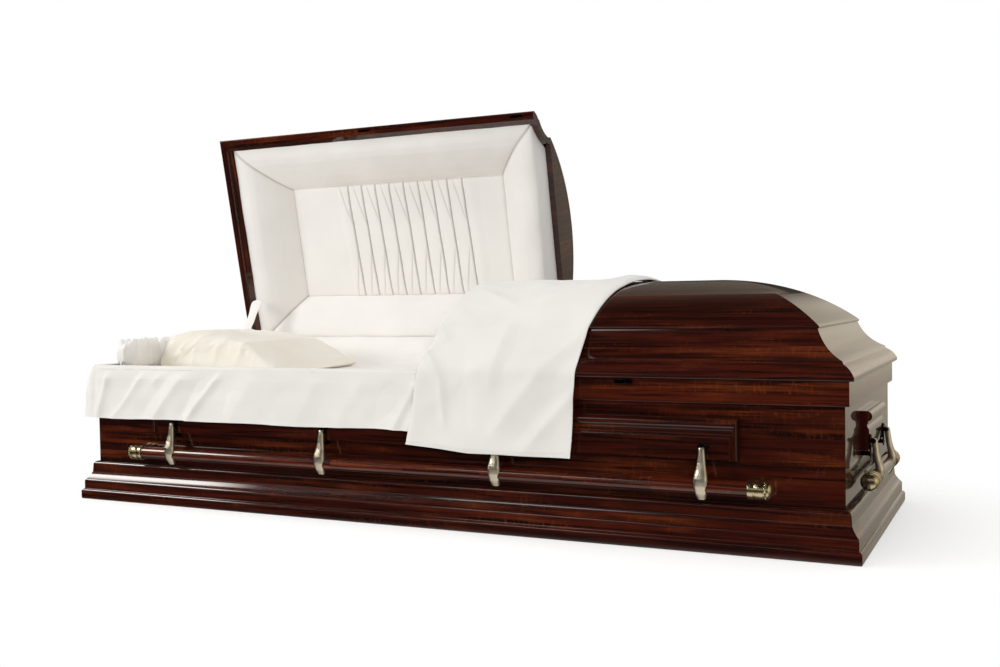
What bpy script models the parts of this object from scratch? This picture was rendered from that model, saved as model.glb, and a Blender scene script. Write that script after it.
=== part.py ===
# Half-couch wooden funeral casket, open at the head end, in metres with +Z up.
# X runs along the casket with the foot end at +X, Y runs across it with the hinges at +Y,
# and the origin is the middle of the underside.

import math

import bmesh
import bpy

# Body
LENGTH = 2.130                 # outside length over the base moulding
WIDTH = 0.765                  # outside width over the base moulding
GLUE_GAP = 0.0003              # joint line between pieces that touch
WALL_INSET = 0.0375            # from the edge of the base moulding in to the wall's face
WALL_THICKNESS = 0.019
BOTTOM_THICKNESS = 0.015
RAIL_DEPTH = 0.0515            # the rim rail from its top to its underside
RIM_HEIGHT = 0.3685            # top of the rim rail, where the lids close
RAIL_PROUD = 0.010             # how far the rim rail stands out from the wall

# Base moulding, heights from the floor and setbacks from its outer edge
PLINTH_HEIGHT = 0.0280
PLINTH_ROUND = 0.008
PLINTH_SETBACK = 0.0068        # face of the bead above the plinth
BEAD_TOP = 0.0480
SHOULDER_ROUND = 0.0095
FASCIA_BOTTOM = 0.0745
FASCIA_SETBACK = 0.0226
FASCIA_LEAN = 0.0014
BASE_HEIGHT = 0.1045
BASE_TOP_ROUND = 0.0100

# Raised panels planted on the walls
PANEL_TOP_SHARE = 0.1459       # shares of the wall's open height, from the rim rail down to the base moulding
PANEL_BOTTOM_SHARE = 0.5647
SIDE_PANEL_SETBACK = 0.2540    # from the end of the base moulding in to the panel's end
END_PANEL_LENGTH = 0.240
PANEL_BEAD_RADIUS = 0.0122
PANEL_BEAD_PROUD = 0.0226
PANEL_COVE_PROUD = 0.0118
PANEL_FIELD_PROUD = 0.0160
PANEL_MOULD_WIDTH = 0.0430     # from the panel's top edge down to its field
PANEL_RETURN_RATIO = 0.45      # the mitred return at a panel's end is this much narrower

# Lids
SPLIT_X = 0.085                # where the head lid meets the foot lid
SPLIT_GAP = 0.0020
LID_SEAT_GAP = 0.0009          # between the rim rail and the closed lid
LIP_SETBACK = 0.0165           # outermost edge of the lid
LIP_HEIGHT = 0.0080
THUMB_END = (0.0240, 0.0335)   # along and up from the lip's corner to the end of the thumb moulding
COVE_START = (0.0270, 0.0400)
COVE_END = (0.0853, 0.1045)
THUMB_BOW = 0.0028
COVE_BOW = -0.0090
FRAME_EDGE = 0.0220            # width of the lid frame's flat underside
FRAME_TOP = 0.1050             # from the lid's underside up to the crown's seat
FRAME_TOP_WIDTH = 0.0170
FRAME_THICKNESS = 0.0175
CROWN_OVERHANG = 0.0030
CROWN_LIP_HEIGHT = 0.0045
CROWN_THICKNESS = 0.012
LID_HEIGHT = 0.2154            # from the rim rail to the top of the closed lid
HEADER_THICKNESS = 0.018
HINGE_SETBACK = 0.0191         # from the edge of the base moulding in to the hinge line
HINGE_DROP = 0.0070            # hinge line below the rim
OPEN_ANGLE = 78.65             # degrees from closed to the open stop

# Swing bar handles
BAR_RADIUS = 0.0168
HANG_SHARE = 0.3741            # from the pivot down to the bar's centre, as a share of the wall's open height
HANG_DISTANCE = 0.0265         # wall face to the bar's centre and to the pivot above it
PIVOT_RISE = 0.0225            # pivot above the underside of the panel
SIDE_ARM_SETBACK = 0.330       # from the end of the base moulding in to the first arm
END_ARM_SPACING = 0.222
SIDE_BAR_SETBACK = 0.231       # from the end of the base moulding in to the wooden bar's end
END_BAR_LENGTH = 0.306
TIP_RADIUS = 0.0200
TIP_LENGTH = 0.0520
TIP_GROOVE = 0.0016
EYE_RADIUS = 0.0058            # top of an arm, round its pin
EYE_WIDTH = 0.0090
PIN_RADIUS = 0.0022
PIN_CLEARANCE = 0.0006
ARM_WIDTH = 0.0280
ARM_DROP = 0.0270              # from the bar's centre down to the arm's blunt end
ARM_WALL = 0.0034              # metal in front of and behind the bar
ARM_SHANK_DEPTH = 0.0100       # from the pivot line out to the front of the arm just below its ear
CHEEK_THICKNESS = 0.0030
CHEEK_CLEARANCE = 0.0005
EAR_THICKNESS = 0.0030
EAR_WIDTH = 0.0280
EAR_RISE = 0.0195              # tip of the ear's finial above the pivot
EAR_DROP = 0.0395              # foot of the ear below the pivot

# Bed and cloth
BED_DROP = 0.0235              # bed's top below the rim
BED_EDGE_ROUND = 0.030
LINING_THICKNESS = 0.012
LINING_DEPTH = 0.2485          # lining's lower edge below the rim
LINING_TOP_DROP = 0.0025       # lining's top edge below the rim
ROLL_RISE = 0.0775             # above the rim: shirred roll that stands up across the head end
ROLL_DEPTH = 0.044
ROLL_FRONT_SETBACK = 0.0725    # from the edge of the base moulding in to the roll's ends
ROLL_BACK_SETBACK = 0.1975
PILLOW_LENGTH = 0.450
PILLOW_WIDTH = 0.500
PILLOW_THICKNESS = 0.118
PILLOW_SETBACK = 0.350         # from the end of the base moulding in to the pillow's middle
APRON_THICKNESS = 0.0050
APRON_RISE = 0.0085            # cloth's top above the rim
APRON_HEM = 0.0070             # its hem above the handle's pivots
APRON_END_GAP = 0.005          # from the split back to the apron's end
CLOTH_GAP = 0.0010             # air between cloth and wood
THROW_THICKNESS = 0.0060
THROW_BACK_Y = 0.080
THROW_HEM = 0.0315             # its hem below the handle's pivots
THROW_CLEARANCE = 0.0010       # between the throw and the handle arms behind it
THROW_LEFT_TOP = -0.015        # its edges, measured from the split towards the foot
THROW_LEFT_BOTTOM = -0.085
THROW_RIGHT_TOP = 0.415
THROW_RIGHT_LIP = 0.359
THROW_RIGHT_BOTTOM = 0.342
LID_LINING_EDGE = 0.0560       # setback of the lining's edge inside the head lid
LID_LINING_CREST = 0.0850
LID_PANEL_SETBACK = 0.2005     # setback of the flat centre panel
LID_PANEL_SPLIT = 0.168        # the centre panel's distance from the split
LID_PANEL_RISE = 0.1086        # the centre panel above the lid's underside
STAY_WIDTH = 0.016
STAY_THICKNESS = 0.004
STAY_FOOT = (0.0685, 0.1494, 0.0005)     # setback from the end, distance before the hinge line, rise above the rim
STAY_HEAD = (0.0645, 0.0454, 0.1735)

# Derived sizes
HALF_LENGTH = LENGTH / 2
HALF_WIDTH = WIDTH / 2
WALL_X = HALF_LENGTH - WALL_INSET
WALL_Y = HALF_WIDTH - WALL_INSET
INNER_INSET = WALL_INSET + WALL_THICKNESS
RAIL_INSET = WALL_INSET - RAIL_PROUD
RAIL_BOTTOM = RIM_HEIGHT - RAIL_DEPTH
OPEN_HEIGHT = RAIL_BOTTOM - BASE_HEIGHT
PANEL_TOP = RAIL_BOTTOM - OPEN_HEIGHT * PANEL_TOP_SHARE
PANEL_BOTTOM = RAIL_BOTTOM - OPEN_HEIGHT * PANEL_BOTTOM_SHARE
LID_BOTTOM = RIM_HEIGHT + LID_SEAT_GAP
HEAD_SPLIT = SPLIT_X - SPLIT_GAP / 2
FOOT_SPLIT = SPLIT_X + SPLIT_GAP / 2
CROWN_SEAT = LID_BOTTOM + FRAME_TOP
CROWN_TOP = RIM_HEIGHT + LID_HEIGHT
FRAME_TOP_SETBACK = LIP_SETBACK + COVE_END[0]
CROWN_SETBACK = FRAME_TOP_SETBACK - CROWN_OVERHANG
HINGE_Y = HALF_WIDTH - HINGE_SETBACK
HINGE_Z = RIM_HEIGHT - HINGE_DROP
PIVOT_HEIGHT = PANEL_BOTTOM + PIVOT_RISE
BAR_HEIGHT = PIVOT_HEIGHT - OPEN_HEIGHT * HANG_SHARE
EAR_TOP = PIVOT_HEIGHT + EAR_RISE
EAR_BOTTOM = PIVOT_HEIGHT - EAR_DROP
EAR_BACK = PANEL_FIELD_PROUD + GLUE_GAP
SIDE_ARM_SPACING = (LENGTH - 2 * SIDE_ARM_SETBACK) / 3
BED_TOP = RIM_HEIGHT - BED_DROP
APRON_BOTTOM = PIVOT_HEIGHT + APRON_HEM
THROW_BOTTOM = PIVOT_HEIGHT - THROW_HEM


def clear_scene():
    for item in list(bpy.data.objects):
        bpy.data.objects.remove(item, do_unlink=True)


def material(name, color, roughness, metallic=0.0):
    finish = bpy.data.materials.new(name)
    finish.use_nodes = True
    shader = finish.node_tree.nodes["Principled BSDF"]
    shader.inputs["Base Color"].default_value = (*color, 1.0)
    shader.inputs["Roughness"].default_value = roughness
    shader.inputs["Metallic"].default_value = metallic
    finish.diffuse_color = (*color, 1.0)
    return finish


def piece(name, finish, points, faces, parent=None, smooth_angle=None):
    """One closed piece from points and faces in world places."""
    shape = bmesh.new()
    corners = [shape.verts.new(point) for point in points]
    for face in faces:
        shape.faces.new([corners[index] for index in face])
    bmesh.ops.remove_doubles(shape, verts=shape.verts, dist=1e-6)
    bmesh.ops.recalc_face_normals(shape, faces=shape.faces)
    return finish_piece(name, finish, shape, parent, smooth_angle)


def finish_piece(name, finish, shape, parent=None, smooth_angle=None):
    mesh = bpy.data.meshes.new(name)
    shape.to_mesh(mesh)
    shape.free()
    mesh.materials.append(finish)
    thing = bpy.data.objects.new(name, mesh)
    bpy.context.collection.objects.link(thing)
    if smooth_angle is not None:
        mesh.shade_smooth()
        mesh.set_sharp_from_angle(angle=math.radians(smooth_angle))
    if parent is not None:
        thing.parent = parent
        thing.location = [-value for value in parent.location]
    return thing


def pivot(name, place, tilt=0.0):
    """An empty on a joint's axis, which carries the pieces that turn with it."""
    empty = bpy.data.objects.new(name, None)
    empty.location = place
    empty.rotation_euler = (tilt, 0.0, 0.0)
    bpy.context.collection.objects.link(empty)
    return empty


def arc(centre, radius, start, end, steps):
    """Points on a circle from one angle to another, in degrees."""
    points = []
    for step in range(steps + 1):
        angle = math.radians(start + (end - start) * step / steps)
        points.append((centre[0] + radius * math.cos(angle), centre[1] + radius * math.sin(angle)))
    return points


def bow(start, end, rise, steps):
    """Points on a shallow curve between two ends, pushed out to the left of the line by rise."""
    along = (end[0] - start[0], end[1] - start[1])
    length = math.hypot(*along)
    side = (-along[1] / length, along[0] / length)
    points = []
    for step in range(steps + 1):
        t = step / steps
        push = 4 * rise * t * (1 - t)
        points.append((start[0] + along[0] * t + side[0] * push, start[1] + along[1] * t + side[1] * push))
    return points


def loft(sections, closed_path, skip_edge=None):
    """Faces between matching closed outlines, capped where the path is open."""
    count = len(sections[0])
    points = [point for section in sections for point in section]
    faces = []
    spans = len(sections) if closed_path else len(sections) - 1
    for span in range(spans):
        here = span * count
        there = (span + 1) % len(sections) * count
        for index in range(count):
            if index == skip_edge:
                continue
            after = (index + 1) % count
            faces.append((here + index, here + after, there + after, there + index))
    if not closed_path:
        faces.append(tuple(range(count)))
        faces.append(tuple(range((len(sections) - 1) * count, len(sections) * count)))
    return points, faces


def ring_corners(setback):
    """The four corners of a rectangle set back from the base moulding's outer edge."""
    x = HALF_LENGTH - setback
    y = HALF_WIDTH - setback
    return [(-x, -y), (x, -y), (x, y), (-x, y)]


def frame_ring(name, finish, outline, smooth_angle=None):
    """A moulding that runs all round, mitred at its four corners, from an outline of setback and height."""
    sections = []
    for corner in range(4):
        sections.append([(*ring_corners(setback)[corner], height) for setback, height in outline])
    points, faces = loft(sections, closed_path=True)
    return piece(name, finish, points, faces, smooth_angle=smooth_angle)


def lid_frame(name, finish, outline, end, split, parent, skip_edge=None, smooth_angle=None):
    """A moulding along the front, one end and the back of a lid; end is -1 for the head and 1 for the foot."""
    sections = [
        [(split, -(HALF_WIDTH - setback), height) for setback, height in outline],
        [(end * (HALF_LENGTH - setback), -(HALF_WIDTH - setback), height) for setback, height in outline],
        [(end * (HALF_LENGTH - setback), HALF_WIDTH - setback, height) for setback, height in outline],
        [(split, HALF_WIDTH - setback, height) for setback, height in outline],
    ]
    points, faces = loft(sections, closed_path=False, skip_edge=skip_edge)
    return piece(name, finish, points, faces, parent, smooth_angle)


def wall_board(name, finish, side):
    """One board of the body, mitred to its neighbours at both ends."""
    outer = WALL_INSET
    inner = INNER_INSET
    low = 0.0
    high = RAIL_BOTTOM - GLUE_GAP
    sections = []
    for end in (-1, 1):
        section = []
        for setback, height in ((outer, low), (inner, low), (inner, high), (outer, high)):
            if side in ("front", "back"):
                facing = -1 if side == "front" else 1
                section.append((end * (HALF_LENGTH - setback - GLUE_GAP), facing * (HALF_WIDTH - setback), height))
            else:
                facing = -1 if side == "head" else 1
                section.append((facing * (HALF_LENGTH - setback), end * (HALF_WIDTH - setback - GLUE_GAP), height))
        sections.append(section)
    points, faces = loft(sections, closed_path=False)
    return piece(name, finish, points, faces)


def base_outline():
    """Section of the base moulding: rounded plinth, bead, sloping shoulder, fascia and rounded top."""
    foot = 0.004
    outline = [(WALL_INSET - GLUE_GAP, 0.0), (foot * 0.7, 0.0), (0.0, foot)]
    outline += arc((PLINTH_ROUND, PLINTH_HEIGHT - PLINTH_ROUND), PLINTH_ROUND, 180, 105, 4)
    outline.append((PLINTH_SETBACK, PLINTH_HEIGHT + 0.0025))
    shoulder = (PLINTH_SETBACK + SHOULDER_ROUND, BEAD_TOP)
    outline += arc(shoulder, SHOULDER_ROUND, 180, 132, 3)
    slope_start = outline[-1]
    slope_end = (FASCIA_SETBACK, FASCIA_BOTTOM)
    outline += bow(slope_start, slope_end, -0.0012, 3)[1:]
    fascia_top = FASCIA_SETBACK + FASCIA_LEAN
    outline += arc((fascia_top + BASE_TOP_ROUND, BASE_HEIGHT - BASE_TOP_ROUND), BASE_TOP_ROUND, 180, 90, 4)
    outline.append((WALL_INSET - GLUE_GAP, BASE_HEIGHT))
    return outline


def build_body(wood):
    frame_ring("base_moulding", wood, base_outline(), smooth_angle=35)
    for side in ("front", "back", "head", "foot"):
        wall_board(side + "_wall", wood, side)
    inset = INNER_INSET + GLUE_GAP
    low = ring_corners(inset)
    points = [(x, y, height) for height in (0.0, BOTTOM_THICKNESS) for x, y in low]
    faces = [(0, 1, 2, 3), (4, 5, 6, 7), (0, 1, 5, 4), (1, 2, 6, 5), (2, 3, 7, 6), (3, 0, 4, 7)]
    piece("bottom_board", wood, points, faces)
    ease = 0.0015
    rail = [
        (RAIL_INSET + ease, RAIL_BOTTOM), (RAIL_INSET, RAIL_BOTTOM + ease),
        (RAIL_INSET, RIM_HEIGHT - ease), (RAIL_INSET + ease, RIM_HEIGHT),
        (INNER_INSET, RIM_HEIGHT), (INNER_INSET, RAIL_BOTTOM),
    ]
    frame_ring("rim_rail", wood, rail)


def panel_profile():
    """Setback from the panel's edge and how far it stands proud: bead, cove and the step up to the field."""
    bead_centre = (PANEL_BEAD_RADIUS, PANEL_BEAD_PROUD - PANEL_BEAD_RADIUS)
    profile = [(0.0, 0.0)]
    profile += arc(bead_centre, PANEL_BEAD_RADIUS, 180, 38, 6)
    profile.append((PANEL_MOULD_WIDTH * 0.64, PANEL_COVE_PROUD + 0.0006))
    profile.append((PANEL_MOULD_WIDTH * 0.73, PANEL_COVE_PROUD))
    profile.append((PANEL_MOULD_WIDTH * 0.86, PANEL_FIELD_PROUD - 0.0012))
    profile.append((PANEL_MOULD_WIDTH, PANEL_FIELD_PROUD))
    return profile


def side_panel(name, finish, facing):
    """Long raised panel: the moulding runs along its top and returns down both ends."""
    face = WALL_Y + GLUE_GAP
    half = HALF_LENGTH - SIDE_PANEL_SETBACK
    profile = panel_profile()
    sections = []
    for end, height in ((-1, None), (-1, PANEL_TOP), (1, PANEL_TOP), (1, None)):
        section = []
        for setback, proud in profile:
            x = end * (half - setback * PANEL_RETURN_RATIO)
            z = PANEL_BOTTOM if height is None else PANEL_TOP - setback
            section.append((x, facing * (face + proud), z))
        sections.append(section)
    count = len(profile)
    points = [point for section in sections for point in section]
    faces = []
    for span in range(3):
        for index in range(count - 1):
            here = span * count + index
            there = here + count
            faces.append((here, here + 1, there + 1, there))
    last = [span * count + count - 1 for span in range(4)]
    first = [span * count for span in range(4)]
    faces.append(tuple(last))
    faces.append(tuple(first))
    faces.append(tuple(range(count)) + tuple(reversed(range(3 * count, 4 * count))))
    return piece(name, finish, points, faces, smooth_angle=35)


def end_panel(name, finish, facing):
    """Short raised panel cut square at its ends, so that its section shows there."""
    face = WALL_X + GLUE_GAP
    outline = [(PANEL_TOP - setback, proud) for setback, proud in panel_profile()]
    outline.append((PANEL_BOTTOM + 0.004, PANEL_FIELD_PROUD - 0.0008))
    outline.append((PANEL_BOTTOM, PANEL_FIELD_PROUD - 0.0035))
    outline.append((PANEL_BOTTOM, 0.0))
    half = END_PANEL_LENGTH / 2
    sections = [[(facing * (face + proud), y, z) for z, proud in outline] for y in (-half, half)]
    points, faces = loft(sections, closed_path=False)
    return piece(name, finish, points, faces, smooth_angle=35)


def lid_outline():
    """Section of a lid's frame: lip, thumb moulding, fillet, cove and an even wall inside."""
    lip = (LIP_SETBACK, LID_BOTTOM + LIP_HEIGHT)
    outline = [(LIP_SETBACK + FRAME_EDGE, LID_BOTTOM), (LIP_SETBACK + 0.0022, LID_BOTTOM)]
    outline.append((LIP_SETBACK, LID_BOTTOM + 0.0032))
    outline.append(lip)
    thumb_end = (LIP_SETBACK + THUMB_END[0], LID_BOTTOM + THUMB_END[1])
    outline += bow((LIP_SETBACK + 0.0010, lip[1] + 0.0022), thumb_end, THUMB_BOW, 4)
    cove_start = (LIP_SETBACK + COVE_START[0], LID_BOTTOM + COVE_START[1])
    cove_end = (LIP_SETBACK + COVE_END[0], CROWN_SEAT - 0.0015)
    cove = bow(cove_start, cove_end, COVE_BOW, 7)
    outline += cove
    outline.append((FRAME_TOP_SETBACK + 0.0004, CROWN_SEAT))
    inside_top = FRAME_TOP_SETBACK + FRAME_TOP_WIDTH
    outline.append((inside_top, CROWN_SEAT))
    outline.append((inside_top - 0.004, CROWN_SEAT - 0.022))
    for setback, height in (cove[4], cove[2]):
        outline.append((setback + FRAME_THICKNESS * 0.70, height - FRAME_THICKNESS * 0.72))
    outline.append((LIP_SETBACK + FRAME_EDGE, LID_BOTTOM + LIP_HEIGHT))
    return outline


def crown_height(setback, inward=0.0):
    """Height of the arched crown over a point set back from the lid's edge."""
    half_span = HALF_WIDTH - CROWN_SETBACK
    rise = CROWN_TOP - (CROWN_SEAT + GLUE_GAP + CROWN_LIP_HEIGHT)
    radius = (half_span ** 2 + rise ** 2) / (2 * rise)
    reach = HALF_WIDTH - setback
    return CROWN_TOP - radius + math.sqrt((radius - inward) ** 2 - reach ** 2)


def crown_outline(steps=9):
    """Section of the crown from its lip up to the ridge and back down inside; the ridge edge is last."""
    seat = CROWN_SEAT + GLUE_GAP
    inside_foot = CROWN_SETBACK + CROWN_THICKNESS * 1.12
    outer = []
    inner = []
    for step in range(steps + 1):
        share = step / steps
        setback = CROWN_SETBACK + (HALF_WIDTH - CROWN_SETBACK) * share
        outer.append((setback, crown_height(setback)))
        setback = inside_foot + (HALF_WIDTH - inside_foot) * share
        inner.append((setback, crown_height(setback, CROWN_THICKNESS)))
    inner[0] = (inside_foot, seat)
    outline = list(reversed(inner)) + [(CROWN_SETBACK + 0.0010, seat), (CROWN_SETBACK, seat + 0.0015)] + outer
    return outline


def header_board(name, finish, low_x, high_x, parent, steps=12):
    """Board that closes the arch of the crown at the split, its lower edge level with the crown's seat."""
    reach = HALF_WIDTH - CROWN_SETBACK - CROWN_THICKNESS * 1.12 - 0.004
    outline = []
    for step in range(steps + 1):
        y = -reach + 2 * reach * step / steps
        outline.append((y, crown_height(HALF_WIDTH - abs(y), CROWN_THICKNESS + 0.0006)))
    bottom = CROWN_SEAT + GLUE_GAP
    outline = [(-reach, bottom)] + outline + [(reach, bottom)]
    sections = [[(x, y, z) for y, z in outline] for x in (low_x, high_x)]
    points, faces = loft(sections, closed_path=False)
    return piece(name, finish, points, faces, parent)


def build_lid(wood, which, end, split, parent):
    lid_frame(which + "_lid_frame", wood, lid_outline(), end, split, parent, smooth_angle=35)
    outline = crown_outline()
    lid_frame(which + "_lid_crown", wood, outline, end, split, parent, len(outline) - 1, smooth_angle=35)
    inner = split + end * HEADER_THICKNESS
    header_board(which + "_lid_header", wood, min(inner, split), max(inner, split), parent)


def turned(name, finish, profile, sides, place, parent=None, smooth_angle=40):
    """A closed turned shape; profile holds distance along the axis and radius, place sets a point."""
    sections = []
    for along, radius in profile:
        section = []
        for side in range(sides):
            angle = 2 * math.pi * side / sides
            section.append(place(along, radius * math.cos(angle), radius * math.sin(angle)))
        sections.append(section)
    points, faces = loft(sections, closed_path=False)
    return piece(name, finish, points, faces, parent, smooth_angle)


def tip_profile():
    """A ringed cap for the end of a bar: two grooves and a rounded end."""
    profile = [(0.0, TIP_RADIUS)]
    for groove in (0.36, 0.68):
        middle = TIP_LENGTH * groove
        profile += [(middle - 0.0018, TIP_RADIUS), (middle, TIP_RADIUS - TIP_GROOVE), (middle + 0.0018, TIP_RADIUS)]
    profile += [(TIP_LENGTH - 0.007, TIP_RADIUS), (TIP_LENGTH - 0.002, TIP_RADIUS * 0.86), (TIP_LENGTH, TIP_RADIUS * 0.60)]
    return profile


def arm_sections():
    """Outline of an arm by height: half width along the wall, and its back and front from the wall."""
    bar_back = HANG_DISTANCE - BAR_RADIUS - ARM_WALL
    bar_front = HANG_DISTANCE + BAR_RADIUS + ARM_WALL
    eye_back = HANG_DISTANCE - EYE_RADIUS
    eye_front = HANG_DISTANCE + EYE_RADIUS
    neck = EYE_WIDTH / 2
    wide = ARM_WIDTH / 2
    return [
        (BAR_HEIGHT - ARM_DROP, wide * 0.44, HANG_DISTANCE - 0.008, HANG_DISTANCE + 0.008),
        (BAR_HEIGHT - BAR_RADIUS * 0.80, wide * 0.72, bar_back + 0.002, bar_front - 0.002),
        (BAR_HEIGHT + BAR_RADIUS * 0.10, wide * 0.96, bar_back, bar_front),
        (BAR_HEIGHT + BAR_RADIUS * 0.90, wide, bar_back + 0.001, bar_front),
        (BAR_HEIGHT + BAR_RADIUS * 1.60, wide * 0.88, HANG_DISTANCE - 0.0105, bar_front - 0.003),
        (EAR_BOTTOM - 0.003, wide * 0.66, eye_back, HANG_DISTANCE + ARM_SHANK_DEPTH),
        (PIVOT_HEIGHT - EYE_RADIUS * 2.3, neck, eye_back, eye_front + 0.001),
        (PIVOT_HEIGHT, neck, eye_back, eye_front),
        (PIVOT_HEIGHT + EYE_RADIUS * 0.75, neck, HANG_DISTANCE - EYE_RADIUS * 0.7, HANG_DISTANCE + EYE_RADIUS * 0.7),
    ]


def hole(name, start, end, radius, sides=12):
    """A round cutter between two points that share two of their three coordinates."""
    axis = [index for index in range(3) if abs(end[index] - start[index]) > 1e-9][0]
    across = [index for index in range(3) if index != axis]
    sections = []
    for end_point in (start, end):
        section = []
        for side in range(sides):
            angle = 2 * math.pi * (side + 0.5) / sides
            point = list(end_point)
            point[across[0]] += radius / math.cos(math.pi / sides) * math.cos(angle)
            point[across[1]] += radius / math.cos(math.pi / sides) * math.sin(angle)
            section.append(tuple(point))
        sections.append(section)
    points, faces = loft(sections, closed_path=False)
    cutter = piece(name, bpy.data.materials[0], points, faces)
    cutter.hide_render = True
    cutter.display_type = "WIRE"
    return cutter


def combine(target, other, operation):
    """Apply a Boolean of one piece on another and drop the other."""
    step = target.modifiers.new(operation.lower(), "BOOLEAN")
    step.object = other
    step.operation = operation
    step.solver = "EXACT"
    bpy.context.view_layer.update()
    evaluated = target.evaluated_get(bpy.context.evaluated_depsgraph_get())
    result = bpy.data.meshes.new_from_object(evaluated)
    target.modifiers.remove(step)
    old = target.data
    target.data = result
    bpy.data.meshes.remove(old)
    bpy.data.objects.remove(other, do_unlink=True)
    return target


def wall_place(side):
    """Maps distance along a wall, distance out from it and height to a place in the room."""
    if side == "front":
        return lambda along, out, height: (along, -(WALL_Y + out), height)
    if side == "back":
        return lambda along, out, height: (-along, WALL_Y + out, height)
    if side == "foot":
        return lambda along, out, height: (WALL_X + out, along, height)
    return lambda along, out, height: (-(WALL_X + out), -along, height)


def arm_mesh(name, finish, place, along, parent, sides=10):
    """A cast arm: a pinned eye at the top, widest at the bar that passes through it, blunt below."""
    sections = []
    for height, half, back, front in arm_sections():
        middle = (back + front) / 2
        depth = (front - back) / 2
        section = []
        for side in range(sides):
            angle = 2 * math.pi * side / sides
            squared = 0.86
            wide = math.copysign(abs(math.cos(angle)) ** squared, math.cos(angle))
            deep = math.copysign(abs(math.sin(angle)) ** squared, math.sin(angle))
            section.append(place(along + half * wide, middle + depth * deep, height))
        sections.append(section)
    points, faces = loft(sections, closed_path=False)
    arm = piece(name, finish, points, faces)
    reach = ARM_WIDTH
    bar_hole = hole(
        "bar_hole", place(along - reach, HANG_DISTANCE, BAR_HEIGHT), place(along + reach, HANG_DISTANCE, BAR_HEIGHT),
        BAR_RADIUS + GLUE_GAP, 14)
    combine(arm, bar_hole, "DIFFERENCE")
    pin_hole = hole(
        "pin_hole", place(along - reach, HANG_DISTANCE, PIVOT_HEIGHT), place(along + reach, HANG_DISTANCE, PIVOT_HEIGHT),
        PIN_RADIUS + PIN_CLEARANCE, 6)
    combine(arm, pin_hole, "DIFFERENCE")
    arm.data.shade_smooth()
    arm.data.set_sharp_from_angle(angle=math.radians(40))
    arm.parent = parent
    arm.location = [-value for value in parent.location]
    return arm


def ear_outline():
    """Half outline of an ear plate from its finial down: point, shoulder lobe, waist and pointed foot."""
    half = EAR_WIDTH / 2
    tall = EAR_TOP - EAR_BOTTOM
    return [
        (0.0, EAR_TOP), (half * 0.20, EAR_TOP - tall * 0.09), (half * 0.55, EAR_TOP - tall * 0.15),
        (half * 0.98, EAR_TOP - tall * 0.27), (half * 0.92, EAR_TOP - tall * 0.40),
        (half * 0.60, EAR_TOP - tall * 0.52), (half * 0.66, EAR_TOP - tall * 0.66),
        (half, EAR_TOP - tall * 0.80), (half * 0.72, EAR_TOP - tall * 0.93), (0.0, EAR_BOTTOM),
    ]


def block(place, along, out, height):
    """Points and faces of a box given by its ranges along the wall, out from it and in height."""
    points = [place(a, o, z) for z in height for o in out for a in along]
    faces = [(0, 1, 3, 2), (4, 5, 7, 6), (0, 1, 5, 4), (2, 3, 7, 6), (0, 2, 6, 4), (1, 3, 7, 5)]
    return points, faces


def ear_mesh(name, finish, place, along):
    """A cast ear: pointed plate, a foot that reaches back to the wall, two cheeks and the pin between them."""
    right = ear_outline()
    left = [(-half, height) for half, height in reversed(right[1:-1])]
    outline = right + left
    sections = []
    for out in (EAR_BACK, EAR_BACK + EAR_THICKNESS):
        sections.append([place(along + half, out, height) for half, height in outline])
    points, faces = loft(sections, closed_path=False)
    ear = piece(name, finish, points, faces)
    foot_half = EAR_WIDTH * 0.32
    foot = piece("foot", finish, *block(
        place, (along - foot_half, along + foot_half), (GLUE_GAP, EAR_BACK + EAR_THICKNESS / 2),
        (EAR_BOTTOM + 0.006, PANEL_BOTTOM - 0.001)))
    combine(ear, foot, "UNION")
    inner = EYE_WIDTH / 2 + CHEEK_CLEARANCE
    for side in (-1, 1):
        near = along + side * inner
        far = near + side * CHEEK_THICKNESS
        cheek = piece("cheek", finish, *block(
            place, (min(near, far), max(near, far)),
            (EAR_BACK + EAR_THICKNESS / 2, HANG_DISTANCE + EYE_RADIUS * 0.9),
            (PIVOT_HEIGHT - EYE_RADIUS, PIVOT_HEIGHT + EYE_RADIUS)))
        combine(ear, cheek, "UNION")
    pin_reach = inner + CHEEK_THICKNESS / 2
    pin = hole(
        "pin", place(along - pin_reach, HANG_DISTANCE, PIVOT_HEIGHT), place(along + pin_reach, HANG_DISTANCE, PIVOT_HEIGHT),
        PIN_RADIUS * 0.87, 6)
    combine(ear, pin, "UNION")
    return ear


def build_handle(side, wood, brass, nickel, dark, length, spacing, count):
    place = wall_place(side)
    carrier = pivot(side + "_handle_pivot", place(0.0, HANG_DISTANCE, PIVOT_HEIGHT))
    half = length / 2

    def on_bar(along, sideways, upwards):
        return place(along, HANG_DISTANCE + sideways, BAR_HEIGHT + upwards)

    turned(side + "_bar", wood, [(-half, BAR_RADIUS), (half, BAR_RADIUS)], 16, on_bar, carrier)
    for end, label in ((-1, "a"), (1, "b")):
        profile = [(end * (half + GLUE_GAP + along), radius) for along, radius in tip_profile()]
        turned(side + "_bar_tip_" + label, brass, profile, 12, on_bar, carrier)
    for index in range(count):
        along = (index - (count - 1) / 2) * spacing
        label = str(index + 1)
        arm_mesh(side + "_arm_" + label, nickel, place, along, carrier)
        ear_mesh(side + "_ear_" + label, dark, place, along)


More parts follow.
